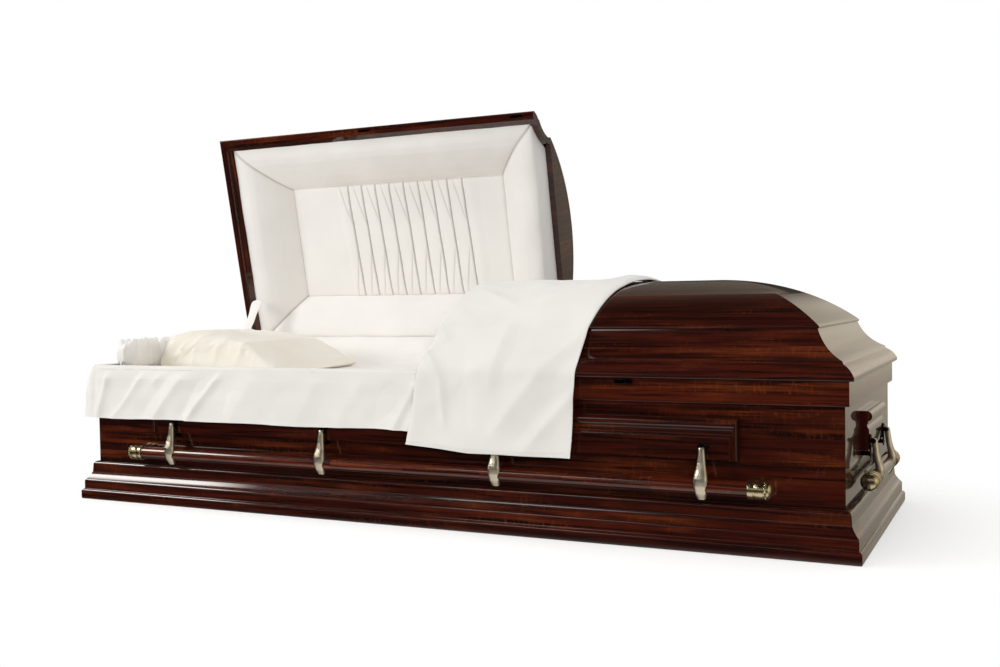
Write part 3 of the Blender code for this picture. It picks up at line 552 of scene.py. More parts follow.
def side_panel(name, facing):
    face = WALL_Y + GLUE_GAP
    profile = panel_profile()
    count = len(profile)
    ends = ((-1, None), (-1, PANEL_TOP), (1, PANEL_TOP), (1, None))
    points = []
    for end, height in ends:
        for setback, proud in profile:
            z = PANEL_BOTTOM if height is None else PANEL_TOP - setback
            points.append((end * (PANEL_HALF - setback * 0.45), facing * (face + proud), z))
    faces = []
    grain = []
    girth = np.concatenate([[0], np.cumsum([math.dist(a, b) for a, b in zip(profile, profile[1:])])])
    for run in range(3):
        axis = 0 if run == 1 else 2
        for index in range(count - 1):
            here = run * count + index
            there = here + count
            faces.append((here, here + 1, there + 1, there))
            for corner, row in ((here, index), (here + 1, index + 1), (there + 1, index + 1), (there, index)):
                grain.append((points[corner][axis] + 5.1 * run, girth[row] + 0.3))
    field = [run * count + count - 1 for run in range(4)]
    wall = [run * count for run in range(4)]
    foot = list(range(count)) + list(reversed(range(3 * count, 4 * count)))
    for face_points in (field, wall, foot):
        faces.append(tuple(face_points))
        for corner in face_points:
            grain.append((points[corner][0], points[corner][2] + 2.0))
    return face_outwards(new_piece(name + "_wood", points, faces, MAHOGANY, grain))


def end_panel(name, facing):
    face = WALL_X + GLUE_GAP
    outline = [(PANEL_TOP - setback, proud) for setback, proud in panel_profile()]
    outline += [(PANEL_BOTTOM + 0.004, 0.0154), (PANEL_BOTTOM + 0.0012, 0.0142), (PANEL_BOTTOM, 0.0122)]
    outline.append((PANEL_BOTTOM, 0.0))
    sections = [[(facing * (face + proud), y, z) for z, proud in outline] for y in (-0.12, 0.12)]
    return sweep(name + "_wood", sections, MAHOGANY, False, 21.0)


for name, maker, facing in (("front_panel", side_panel, -1), ("back_panel", side_panel, 1),
                            ("head_panel", end_panel, -1), ("foot_panel", end_panel, 1)):
    dress(maker(name, facing), "casket_body", MAHOGANY, name)

# %% [markdown]
# ## Lids
# Each half lid is a frame moulding with a lip, a thumb and a cove, and an arched crown on top.
# The head lid is made closed, as a joiner would, and then turned about the hinge line.

# %% Lid frames and crowns
CROWN_BOARD = 0.012
CROWN_FOOT = CROWN_SETBACK + 0.01344
HEADER_DEPTH = 0.018


def lid_outline():
    """Setback and height round the section of a lid's frame."""
    outline = [(LIP_SETBACK + 0.022, LID_BOTTOM), (LIP_SETBACK + 0.003, LID_BOTTOM)]
    outline += arc((LIP_SETBACK + 0.003, LID_BOTTOM + 0.003), 0.003, 270, 180, 5)[1:]
    outline += arc((LIP_SETBACK + 0.002, LID_BOTTOM + 0.0085), 0.002, 180, 110, 4)
    thumb_top = (LIP_SETBACK + 0.024, LID_BOTTOM + 0.0335)
    outline += bow((LIP_SETBACK + 0.0016, LID_BOTTOM + 0.0108), thumb_top, 0.0028, 14)
    cove_top = (LIP_SETBACK + 0.0853, CROWN_SEAT - 0.0015)
    cove = bow((LIP_SETBACK + 0.027, LID_BOTTOM + 0.04), cove_top, -0.009, 28)
    outline += cove
    outline.append((LIP_SETBACK + 0.0857, CROWN_SEAT))
    outline += [(0.1188, CROWN_SEAT), (0.1148, CROWN_SEAT - 0.022)]
    for setback, height in (cove[16], cove[8]):
        outline.append((setback + 0.01225, height - 0.0126))
    outline.append((LIP_SETBACK + 0.022, LID_BOTTOM + 0.008))
    return outline


def crown_height(setback, inward=0.0):
    half_span = HALF_WIDTH - CROWN_SETBACK
    rise = CROWN_TOP - (CROWN_SEAT + GLUE_GAP + 0.0045)
    radius = (half_span ** 2 + rise ** 2) / (2 * rise)
    reach = HALF_WIDTH - setback
    return CROWN_TOP - radius + math.sqrt((radius - inward) ** 2 - reach ** 2)


def crown_outline(steps=44):
    seat = CROWN_SEAT + GLUE_GAP
    outer = []
    inner = []
    for step in range(steps + 1):
        share = step / steps
        setback = CROWN_SETBACK + 0.0008 + (HALF_WIDTH - CROWN_SETBACK - 0.0008) * share
        outer.append((setback, crown_height(setback)))
        setback = CROWN_FOOT + (HALF_WIDTH - CROWN_FOOT) * share
        inner.append((setback, crown_height(setback, CROWN_BOARD)))
    inner[0] = (CROWN_FOOT, seat)
    rounded = ((0.0012, 0.0), (0.0002, 0.0008), (0.0, 0.002), (0.0001, 0.0036))
    lip = [(CROWN_SETBACK + inwards, seat + rise) for inwards, rise in rounded]
    return list(reversed(inner)) + lip + outer


def lid_sections(outline, end, split):
    """Sections from the split along one side, across the end and back along the other side."""
    sections = []
    for facing, at_split in ((-1, True), (-1, False), (1, False), (1, True)):
        xs = [split if at_split else end * (HALF_LENGTH - s) for s, z in outline]
        sections.append([(x, facing * (HALF_WIDTH - s), z) for x, (s, z) in zip(xs, outline)])
    return sections


def header_sections(low_x, high_x, steps=40):
    reach = HALF_WIDTH - CROWN_FOOT - 0.004
    ys = np.linspace(-reach, reach, steps + 1)
    outline = [(y, crown_height(HALF_WIDTH - abs(y), 0.0126)) for y in ys]
    bottom = CROWN_SEAT + GLUE_GAP
    outline = [(-reach, bottom)] + outline + [(reach, bottom)]
    return [[(x, y, z) for y, z in outline] for x in (low_x, high_x)]


def place_lid_piece(piece, which, node):
    if which == "head":
        piece.data.transform(OPEN_TURN)
    dress(piece, which + "_lid", MAHOGANY, which + "_lid_" + node)


def build_lid(which, end, split):
    lid = which + "_lid_"
    frame_sections = lid_sections(lid_outline(), end, split)
    place_lid_piece(sweep(lid + "frame_wood", frame_sections, MAHOGANY, False, 31.0 + end), which, "frame")
    arch = crown_outline()
    arch_sections = lid_sections(arch, end, split)
    crown = sweep(lid + "crown_wood", arch_sections, MAHOGANY, False, 41.0 + end, skip=len(arch) - 1)
    place_lid_piece(crown, which, "crown")
    board = header_sections(*sorted((split + end * HEADER_DEPTH, split)))
    place_lid_piece(sweep(lid + "header_wood", board, MAHOGANY, False, 51.0), which, "header")
    print(which, "lid triangles", sum(len(p.vertices) - 2 for p in crown.data.polygons))


build_lid("head", -1, HEAD_SPLIT)
build_lid("foot", 1, FOOT_SPLIT)

# %% [markdown]
# ## Repeats with Geometry Nodes
# Arms, ears, tips and hinges repeat along a wall at one spacing. A small node tree puts copies of
# one template on a line, turns each by one step more than the last, and makes them one real mesh.
# Its sizes are named inputs, so the same tree serves every row.

# %% Rows of copies


def row_tree():
    tree = bpy.data.node_groups.new("pieces_in_a_row", "GeometryNodeTree")
    inputs = {}
    for label, kind in (("Template", "Geometry"), ("Count", "Int"), ("Start", "Vector"), ("Step", "Vector"),
                        ("Turn", "Vector"), ("Finish", "Material")):
        socket = tree.interface.new_socket(label, in_out="INPUT", socket_type="NodeSocket" + kind)
        inputs[label] = socket.identifier
    tree.interface.new_socket("Row", in_out="OUTPUT", socket_type="NodeSocketGeometry")
    graph = Graph(tree)

    def given(label):
        return graph.node("NodeGroupInput", {}, {}, label)

    line = graph.node("GeometryNodeMeshLine", {"mode": "OFFSET"}, {
        "Count": given("Count"), "Start Location": given("Start"), "Offset": given("Step")})
    index = graph.node("GeometryNodeInputIndex", {}, {})
    turns = {"Vector": given("Turn"), "Scale": index}
    turn = graph.node("ShaderNodeVectorMath", {"operation": "SCALE"}, turns)
    copies = graph.node("GeometryNodeInstanceOnPoints", {}, {
        "Points": line, "Instance": given("Template"), "Rotation": turn})
    real = graph.node("GeometryNodeRealizeInstances", {}, {"Geometry": copies})
    dressed = graph.node("GeometryNodeSetMaterial", {}, {"Geometry": real, "Material": given("Finish")})
    graph.node("NodeGroupOutput", {}, {"Row": dressed})
    return tree, inputs


ROW_TREE, ROW_INPUTS = row_tree()


def in_a_row(template, name, finish, count, start, step, turn=(0.0, 0.0, 0.0)):
    """One mesh of several copies of a template, from the evaluated node tree."""
    row = modify(template, "NODES", node_group=ROW_TREE)
    values = {"Count": count, "Start": start, "Step": step, "Turn": turn, "Finish": finish}
    for label, value in values.items():
        row[ROW_INPUTS[label]] = value
    mesh = plain_mesh(template)
    template.modifiers.remove(row)
    return placed(name, mesh)


def plain_mesh(thing):
    """The mesh that an object's modifiers give."""
    bpy.context.view_layer.update()
    return bpy.data.meshes.new_from_object(thing.evaluated_get(bpy.context.evaluated_depsgraph_get()))


def settle(thing):
    """Apply an object's modifiers to its own mesh."""
    mesh = plain_mesh(thing)
    thing.modifiers.clear()
    thing.data = mesh
    return thing


def discard(*templates):
    for template in templates:
        bpy.data.objects.remove(template)


def turned(name, profile, sides, finish, place, start=0.0):
    """A turned piece from steps along its axis and radii; place sets each point in the room."""
    turns = [2 * math.pi * side / sides for side in range(sides)]
    sections = []
    for along, radius in profile:
        sections.append([place(along, radius * math.cos(turn), radius * math.sin(turn)) for turn in turns])
    return sweep(name, sections, finish, False, start)


print("row inputs", sorted(ROW_INPUTS))

# %% [markdown]
# ## Handle castings
# Each wall carries a turned wooden bar with brass tips, held by arms that swing on pins in ears.
# An arm is a loft: narrow at its eye, widest just above the bar, then cut back by a long facet
# with an arched upper edge. An ear is a cast leaf with a spear finial, side curls and a flared
# foot. Its blobs are merged by a voxel remesh, which leaves the soft corners of a real casting.

# %% Arm, tip and ear templates
PIVOT_HEIGHT = 0.2195
BAR_HEIGHT = 0.14
HANG_DISTANCE = 0.0265
BAR_RADIUS = 0.0168
FACET_DEPTH = 0.0474
FACET_SLOPE = 0.4
EASE = 0.003
ARM_LEVELS = metres(
    (113, 8.4, 22.5, 34), (115, 9.6, 22, 35.2), (126.6, 12.8, 23.5, 44.7), (141.7, 15.2, 25.8, 48.2),
    (155.1, 15.6, 27.2, 48.2), (160, 15, 28, 47.2), (166.9, 13.8, 27.6, 44.7), (177, 11.7, 25.8, 40.5),
    (192, 9.2, 23.2, 36.5), (206.2, 7.8, 21.4, 34.5), (215, 7.2, 20.7, 33.3), (219.5, 7, 20.7, 32.8),
    (223, 6.4, 22.2, 30.8), (224.5, 5.2, 23.8, 29.2))
TIP_BANDS = metres(
    (0, 17.2), (0.2, 18.8), (1.2, 19.8), (2.4, 20), (11.8, 20), (12.8, 19.6), (13.2, 18), (15.2, 18),
    (15.6, 19.6), (16.6, 20), (33, 20), (34, 19.6), (34.4, 18.2), (36.2, 18.2), (36.6, 19.2))


def arm_template(rows=84, sides=40):
    sections = []
    for height in np.linspace(ARM_LEVELS[0, 0], ARM_LEVELS[-1, 0], rows):
        half, back, front = (float(value) for value in along_table(height, ARM_LEVELS))
        middle = (back + front) / 2
        facet = FACET_DEPTH + (height - BAR_HEIGHT) * FACET_SLOPE
        section = []
        for side in range(sides):
            turn = 2 * math.pi * (side + 0.5) / sides
            wide = math.copysign(abs(math.cos(turn)) ** 0.8, math.cos(turn))
            deep = math.copysign(abs(math.sin(turn)) ** 0.88, math.sin(turn))
            out = middle + (front - back) / 2 * deep
            trimmed = -EASE * math.log(math.exp(-out / EASE) + math.exp(-facet / EASE))
            section.append((half * wide, trimmed, height))
        sections.append(section)
    arm = sweep("arm_template", sections, NICKEL, False, smooth=38.0)
    slot = sweep("eye_slot", [
        [(x, y, z) for x, y in ((-0.0012, 0.0265), (0.0012, 0.0265), (0.0012, 0.04), (-0.0012, 0.04))]
        for z in (0.215, 0.2222)], GROOVE, False)
    modify(arm, "BOOLEAN", object=slot, solver="EXACT")
    settle(arm)
    discard(slot)
    return arm


def tip_template(sides=96):
    """A brass cap: band, groove, wide band, groove, beaded ring and a rounded end."""
    profile = TIP_BANDS.tolist()
    profile += [(0.0385 + 0.0019 * x, 0.0188 + 0.0012 * y) for x, y in arc((0.0, 0.0), 1.0, 180, 0, 8)]
    profile += [(0.0408, 0.0184), (0.0412, 0.0186)]
    for degrees in range(6, 90, 6):
        turn = math.radians(degrees)
        profile.append((0.0412 + 0.0108 * math.sin(turn), 0.0186 * math.cos(turn)))
    beads = sides // 4
    sections = []
    for along, radius in profile:
        beaded = 0.0005 if 0.037 < along < 0.0402 else 0.0
        section = []
        for side in range(sides):
            turn = 2 * math.pi * side / sides
            reach = radius + beaded * math.cos(beads * turn)
            section.append((along, reach * math.cos(turn), reach * math.sin(turn)))
        sections.append(section)
    return sweep("tip_template", sections, BRASS, False, smooth=28.0)


EAR_BLOBS = (
    (0, 17.6, 10, 3.4, 2.2, 5, 0), (4.6, 17.6, 6.8, 5.2, 2, 3, 28), (9.6, 17.8, 8.4, 3.2, 2.2, 2.4, -35),
    (12, 17.9, 5.4, 2.2, 2, 2.2, 0), (0, 17.4, -1, 10.4, 2.4, 9, 0), (6.6, 17.5, -6.6, 5.2, 2, 3.2, -32),
    (10.6, 17.6, -9.2, 2.6, 2, 2.2, 0), (0, 17.5, -16, 5.6, 2.3, 15, 0), (5.6, 17.5, -27, 6.6, 2, 2.8, -40),
    (10.6, 17.7, -31.4, 2.6, 2.1, 2.2, 0), (0, 17.5, -33, 3.6, 2, 7, 0), (8.9, 24, 0, 0.95, 7.6, 5.6, 0),
    (9.9, 26.5, 0, 1.8, 2.6, 2.6, 0))
EAR_BLOCKS = (
    (0, 9.4, -28.5, 8.4, 9.1, 4.6), (0, 26.5, 0, 9, 1.3, 1.3))


def ear_template():
    shape = bmesh.new()
    for along, out, rise, wide, deep, tall, tilt in EAR_BLOBS:
        for side in (-1, 1) if along else (1,):
            leant = Matrix.Rotation(-side * math.radians(tilt), 4, "Y")
            leant = leant @ Matrix.Diagonal((wide, deep, tall, 1.0))
            place = Matrix.Translation((side * along, out, rise))
            bmesh.ops.create_icosphere(shape, subdivisions=3, radius=1.0, matrix=place @ leant)
    for along, out, rise, wide, deep, tall in EAR_BLOCKS:
        place = Matrix.Translation((along, out, rise)) @ Matrix.Diagonal((2 * wide, 2 * deep, 2 * tall, 1.0))
        bmesh.ops.create_cube(shape, size=1.0, matrix=place)
    ear = placed("ear_template", mesh_of("ear_template", shape))
    ear.data.transform(Matrix.Translation((0.0, 0.0, PIVOT_HEIGHT)) @ Matrix.Scale(0.001, 4))
    modify(ear, "REMESH", mode="VOXEL", voxel_size=0.00055)
    modify(ear, "SMOOTH", iterations=3)
    modify(ear, "DECIMATE", ratio=0.16)
    settle(ear)
    ear.data.shade_smooth()
    return ear


ARM = arm_template()
TIP = tip_template()
EAR = ear_template()
for template in (ARM, TIP, EAR):
    print(template.name, "faces", len(template.data.polygons))

# %% [markdown]
# ## Handles on the four walls
# The templates lie in a wall's own frame: along it, out from it, and up. One turn and one shift put
# a row on its wall. Arms, bar and tips swing on the handle's body, and the ears stay on the casket.

# %% Handles


def wall_turn(side):
    degrees = {"back": 0, "front": 180, "foot": -90, "head": 90}[side]
    reach = WALL_Y if side in ("front", "back") else WALL_X
    return Matrix.Rotation(math.radians(degrees), 4, "Z") @ Matrix.Translation((0.0, reach, 0.0))


def hang(piece, side, body, finish, nodes):
    piece.data.transform(wall_turn(side))
    dress(piece, body, finish, *nodes)


def handle(side, half, spacing, count):
    body = side + "_handle"
    start = (-spacing * (count - 1) / 2, 0.0, 0.0)
    numbers = range(1, count + 1)
    arms = in_a_row(ARM, side + "_arms", NICKEL, count, start, (spacing, 0.0, 0.0))
    hang(arms, side, body, NICKEL, [f"{side}_arm_{n}" for n in numbers])
    ears = in_a_row(EAR, side + "_ears", BRONZE, count, start, (spacing, 0.0, 0.0))
    hang(ears, side, "casket_body", BRONZE, [f"{side}_ear_{n}" for n in numbers])
    place = (half + GLUE_GAP, HANG_DISTANCE, BAR_HEIGHT)
    tips = in_a_row(TIP, side + "_tips", BRASS, 2, place, (-2 * place[0], 0.0, 0.0), (0.0, 0.0, math.pi))
    hang(tips, side, body, BRASS, [side + "_bar_tip_a", side + "_bar_tip_b"])

    def spot(along, sideways, upwards):
        return (along, HANG_DISTANCE + sideways, BAR_HEIGHT + upwards)

    profile = [(float(along), BAR_RADIUS) for along in np.linspace(-half, half, 9)]
    bar = turned(side + "_bar_wood", profile, 64, RAIL_WOOD, spot, 61.0 + half)
    hang(bar, side, body, RAIL_WOOD, [side + "_bar"])


for side, half, spacing, count in (("front", 0.834, 0.49, 4), ("back", 0.834, 0.49, 4),
                                   ("head", 0.153, 0.222, 2), ("foot", 0.153, 0.222, 2)):
    handle(side, half, spacing, count)
discard(ARM, TIP, EAR)

# %% [markdown]
# ## Catches and hinges
# A dark spring catch sits under the foot lid's lip, and two more on the head lid's rim. Knuckle
# hinges run along the back, with one leaf on the rail and one under each lid.

# %% Catches and hinges
LEAF_HALF = 0.031
HINGE_SPACING = 0.35


def plate(name, low, high, ease, finish):
    """A small plate with eased edges."""
    shape = bmesh.new()
    size = [b - a for a, b in zip(low, high)]
    middle = [(a + b) / 2 for a, b in zip(low, high)]
    bmesh.ops.create_cube(shape, size=1.0, matrix=Matrix.Translation(middle) @ Matrix.Diagonal((*size, 1.0)))
    bmesh.ops.bevel(shape, geom=shape.edges[:], offset=ease, segments=3, affect="EDGES", profile=0.5)
    mesh = mesh_of(name, shape)
    mesh.materials.append(finish)
    mesh.shade_smooth()
    return placed(name, mesh)


def knuckle_template():
    """A hinge barrel of five knuckles with thin gaps between them."""
    knuckle = ((0.0, 0.0028), (0.0004, 0.0034), (0.0118, 0.0034), (0.0122, 0.0028))
    profile = [((number - 2.5) * 0.0124 + along, radius) for number in range(5) for along, radius in knuckle]

    def spot(along, sideways, upwards):
        return (along, HINGE.y + sideways, HINGE.z + upwards)

    return turned("knuckle_template", profile, 24, BRASS, spot)


def back_hinges():
    barrel = knuckle_template()
    rail_leaf = plate("rail_leaf", (-LEAF_HALF, 0.3553, 0.339), (LEAF_HALF, 0.3568, 0.36), 0.0005, BRASS)
    lid_leaf = plate("lid_leaf", (-LEAF_HALF, 0.3612, 0.364), (LEAF_HALF, 0.364, 0.3693), 0.0005, BRASS)
    for which, middle in (("head", -0.49), ("foot", 0.55)):
        start = (middle - HINGE_SPACING, 0.0, 0.0)
        rows = ((barrel, "barrels", "casket_body"), (rail_leaf, "rail_leaves", "casket_body"),
                (lid_leaf, "lid_leaves", which + "_lid"))
        for template, label, body in rows:
            row = in_a_row(template, f"{which}_hinge_{label}", BRASS, 3, start, (HINGE_SPACING, 0.0, 0.0))
            if label == "lid_leaves" and which == "head":
                row.data.transform(OPEN_TURN)
            dress(row, body, BRASS)
    discard(barrel, rail_leaf, lid_leaf)


def catch(name, middle, half, body, open_lid):
    """A catch body with a round button: on its face, or under it where it is let into the open lid."""
    x, y, z = middle
    low, high = (x - 0.02, y - 0.004, z - half), (x + 0.02, y + 0.004, z + half)
    box = plate(name, low, high, half * 0.25, BRONZE)
    profile = ((-0.001, 0.0035), (0.0022, 0.0035), (0.0032, 0.003), (0.0036, 0.0016))

    def spot(along, sideways, upwards):
        if open_lid:
            return (x + 0.006 + sideways, y + upwards, z - half - 0.08 * along)
        return (x + 0.006 + sideways, y - 0.004 - along, z + upwards)

    button = turned(name + "_button", profile, 20, BRONZE, spot)
    for piece in (box, button):
        if open_lid:
            piece.data.transform(OPEN_TURN)
        dress(piece, body, BRONZE)


back_hinges()
catch("foot_catch", (0.556, -0.3592, 0.3612), 0.0055, "casket_body", False)
catch("head_catch_a", (-0.487, -0.3555, LID_BOTTOM + 0.002), 0.0021, "head_lid", True)
catch("head_catch_b", (0.03, -0.3555, LID_BOTTOM + 0.002), 0.0021, "head_lid", True)

# %% [markdown]
# ## Cloth as grids
# Each piece of cloth is a grid of points with a second grid behind it, stitched into a closed
# shell, so that it has a real thickness. Folds are soft ridges laid over the grid along short
# lines, in metres on the cloth, and a slow noise keeps the ground between them alive.

# %% Cloth helpers


def shell(name, front, back, finish, body, nodes=(), crease_shade=None):
    """A closed mesh between two grids of points: rows by columns by 3."""
    rows, columns = front.shape[:2]
    points = np.concatenate([front.reshape(-1, 3), back.reshape(-1, 3)])
    first = np.arange(rows * columns).reshape(rows, columns)
    faces = []
    edges = []
    for grid in (first, first + rows * columns):
        quads = np.stack([grid[:-1, :-1], grid[:-1, 1:], grid[1:, 1:], grid[1:, :-1]], axis=-1)
        faces += quads.reshape(-1, 4).tolist()
        edges.append(np.concatenate([grid[0, :-1], grid[:-1, -1], grid[-1, :0:-1], grid[:0:-1, 0]]).tolist())
    for index in range(len(edges[0])):
        after = (index + 1) % len(edges[0])
        faces.append((edges[0][index], edges[0][after], edges[1][after], edges[1][index]))
    piece = new_piece(name, points, faces, finish, smooth=75.0)
    # The point map of painted shade for seams and pleats is written on both grids.
    if crease_shade is not None:
        layer = piece.data.attributes.new("crease_shade", "FLOAT", "POINT")
        layer.data.foreach_set("value", np.tile(crease_shade.ravel(), 2).astype(np.float32))
    face_outwards(piece)
    if body == "head_lid":
        piece.data.transform(OPEN_TURN)
    return dress(piece, body, finish, *nodes)


def unit(values):
    """Values held between 0 and 1."""
    return np.clip(values, 0.0, 1.0)


def bell(distance, width, power=2):
    """1 at no distance, falling to nothing over a width."""
    return np.exp(-(distance / width) ** power)


def points_at(x, y, z):
    return np.stack([x, y, z], axis=-1)


def path_lengths(line):
    """The distance along a line of points to each of them."""
    return np.concatenate([[0.0], np.cumsum(np.linalg.norm(np.diff(line, axis=0), axis=1))])


def folds(u, v, lines, sharp=1.5):
    """Heights of soft folds; a line is its two ends, its half width and its height."""
    total = np.zeros_like(u)
    for u0, v0, u1, v1, width, height in lines:
        du, dv = u1 - u0, v1 - v0
        share = unit(((u - u0) * du + (v - v0) * dv) / (du * du + dv * dv))
        apart = np.hypot(u - u0 - share * du, v - v0 - share * dv)
        fade = np.sqrt(np.clip(1.15 - np.abs(2 * share - 1) ** 3, 0.05, 1.0))
        total += height * fade * bell(apart, width, sharp)
    return total


def wander(u, v, scale, seed):
    """A slow noise between about -0.5 and 0.5 over two coordinates."""
    flat = [noise.noise(Vector((a * scale, b * scale, seed))) for a, b in zip(u.ravel(), v.ravel())]
    return np.array(flat).reshape(u.shape)


def rumple(u, v, *waves):
    """The sum of slow noises, each with its scale, seed and height."""
    return sum(wander(u, v, scale, seed) * height for scale, seed, height in waves)


def surface_area(grid):
    """Area of a grid of points, from its quads."""
    across = grid[:-1, 1:] - grid[:-1, :-1]
    down = grid[1:, :-1] - grid[:-1, :-1]
    return float(np.linalg.norm(np.cross(across, down), axis=2).sum())


print("cloth helpers ready, noise sample", round(noise.noise(Vector((0.3, 0.4, 0.5))), 3))

# %% [markdown]
# ## Apron
# A white cloth hangs over the rim along the open half and turns round the head end. Its top edge
# is pulled tight over the rail, so it is crisp and straight. Below, it falls in shallow diagonal
# folds, with one soft pleat where it turns the corner.

# %% Apron
APRON_FOLDS = metres(
    (-962, 10, -998, 150, 12, 6), (-850, 12, -950, 150, 22, -4.5), (-826, 14, -952, 150, 15, 7),
    (-760, 12, -800, 50, 13, 3.2), (-735, 15, -862, 150, 22, -3.5), (-684, 14, -800, 150, 17, 6.2),
    (-640, 30, -706, 140, 24, -5.5), (-600, 14, -650, 80, 14, -2.6), (-566, 12, -682, 150, 12, 7.6),
    (-541, 50, -556, 120, 20, -3.4), (-455, 20, -540, 150, 34, 4.4), (-350, 30, -430, 150, 36, -3.4),
    (-250, 20, -330, 150, 30, 4), (-120, 20, -200, 150, 36, 4.4), (-30, 30, -95, 150, 26, -3.6),
    (45, 10, -30, 150, 13, 7.6), (75, 20, 10, 150, 12, 6.4), (-1047, 20, -1040, 60, 10, 4),
    (-1040, 60, -1052, 150, 10, 5), (-1020, 20, -1015, 150, 12, -3.5))
APRON_SECTION = (
    (0.0, -0.0185, 0.3775), (0.035, -0.002, 0.3782), (0.07, 0.0038, 0.3765), (0.105, 0.0062, 0.3715),
    (0.25, 0.0068, 0.348), (0.45, 0.009, 0.317), (0.62, 0.0128, 0.2905), (1.0, 0.0152, 0.2318))
EDGE_ROW = 9


def apron():
    right, corner, back = 0.08, -1.0375, 0.326
    turn = 0.014
    reach = math.pi / 2 * turn
    front_run = right - (corner + turn)
    end_run = back - (-WALL_Y - 0.01 + turn)
    steps = np.concatenate([np.linspace(0, front_run, 300), front_run + reach * np.linspace(0, 1, 12)[1:],
                            front_run + reach + np.linspace(0, end_run, 110)[1:]])
    drop = np.concatenate([np.linspace(0, 0.134, 10), np.linspace(0.134, 1, 42)[1:]])
    along, down = np.meshgrid(steps, drop)
    round_share = unit((along - front_run) / reach)
    angle = round_share * math.pi / 2
    past = np.clip(along - front_run - reach, 0.0, None)
    x = right - np.minimum(along, front_run) - turn * np.sin(angle)
    y = -(WALL_Y + 0.01) + turn * (1 - np.cos(angle)) + past
    flat_x = right - along
    at_end = unit((along - front_run) / 0.03)
    out, height = along_table(down, APRON_SECTION)
    fall = unit((0.372 - height) / 0.146)
    soft = rumple(flat_x, height, (7.0, 2.3, 0.01), (22.0, 5.1, 0.0022))
    lift = folds(flat_x, 0.377 - height, APRON_FOLDS) * 1.5 + soft + 0.006
    lift = np.clip(lift, -0.0004, None) * unit(fall * 5)
    lift += fall * at_end * 0.01
    hem = wander(flat_x, 0 * flat_x, 5.0, 8.2) * 0.005 * fall
    hem_line = -0.0012 * bell(height - 0.24, 0.0011)
    stand = out + lift + hem_line
    front = points_at(x - np.sin(angle) * stand, y - np.cos(angle) * stand, height + hem)
    bent = unit((height - 0.372) / 0.004)[..., None]
    facing = points_at(-np.sin(angle), -np.cos(angle), 0 * angle) * (1 - bent)
    facing = facing + np.array((0.0, 0.0, 1.0)) * bent
    back_grid = front - 0.0022 * facing
    tight = slice(EDGE_ROW + 1)
    edge = shell("apron_edge", front[tight], back_grid[tight], SHADED_WHITE, "casket_body")
    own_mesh(edge)
    hung = slice(EDGE_ROW, None)
    piece = shell("apron_cloth", front[hung], back_grid[hung], SHADED_WHITE, "casket_body", ["apron"])
    print("apron area", round(surface_area(front), 4), "lowest", round(float(front[..., 2].min()), 4))


apron()

# %% [markdown]
# ## Throw
# A padded cloth lies over the foot lid beside the split and hangs down the front. It follows the
# arch, bridges the hollow of the cove, drops from the lip, and stands clear of the arm below. Its
# left edge reaches past the end of the lid, and its right edge has a turned and stitched border.
# The hem is a strip of its own.

# %% Throw
THROW_FOLDS = metres(
    (35, 460, 105, 540, 11, 7), (105, 540, 118, 660, 13, 6), (150, 470, 180, 660, 22, -3.5),
    (90, 220, 250, 330, 20, 4.5), (80, 290, 200, 380, 26, -3), (245, 380, 235, 560, 20, 5.2),
    (285, 400, 270, 540, 26, -3), (240, 680, 440, 420, 22, 5.5), (300, 690, 440, 520, 26, -3),
    (330, 700, 440, 580, 16, 4.5), (60, 620, 220, 500, 28, 3), (280, 300, 430, 160, 30, 4.5),
    (120, 120, 300, 200, 28, 3.5), (40, 380, 100, 440, 14, 4.5), (440, 20, 450, 140, 40, 3))
THROW_EDGES = metres(
    (0, 52, 515), (80, 52, 498), (130, 53, 480), (180, 54, 468), (230, 56, 461), (280, 54, 455),
    (350, 54, 448), (390, 48, 447), (420, 42, 446), (460, 36, 445), (490, 32, 444.5), (515, 30, 443),
    (560, 26, 443), (640, 19, 441), (720, 13, 437))
THROW_FALL = metres(
    (-289.5, 479), (-305, 458), (-327, 433), (-350, 406), (-365, 389), (-371.2, 378), (-372.2, 368),
    (-374.5, 345), (-378, 305), (-383.2, 245), (-386.5, 187.5))
SEAM_HEIGHT = 0.264
SEAM_ROW = 118
BORDER = 0.0075


def throw_spine(rows):
    """The line that the cloth follows from its back edge to its hem."""
    line = [(y, crown_height(HALF_WIDTH - abs(y)) + 0.0035) for y in np.linspace(0.08, -0.28, 60)]
    line = np.array(line + THROW_FALL.tolist())
    reach = path_lengths(line)
    even = np.linspace(0.0, reach[-1], rows)
    smooth = np.stack([np.interp(even, reach, line[:, k]) for k in (0, 1)], axis=-1)
    for turn in range(3):
        smooth[1:-1] = (smooth[:-2] + 2 * smooth[1:-1] + smooth[2:]) / 4
    return even, smooth


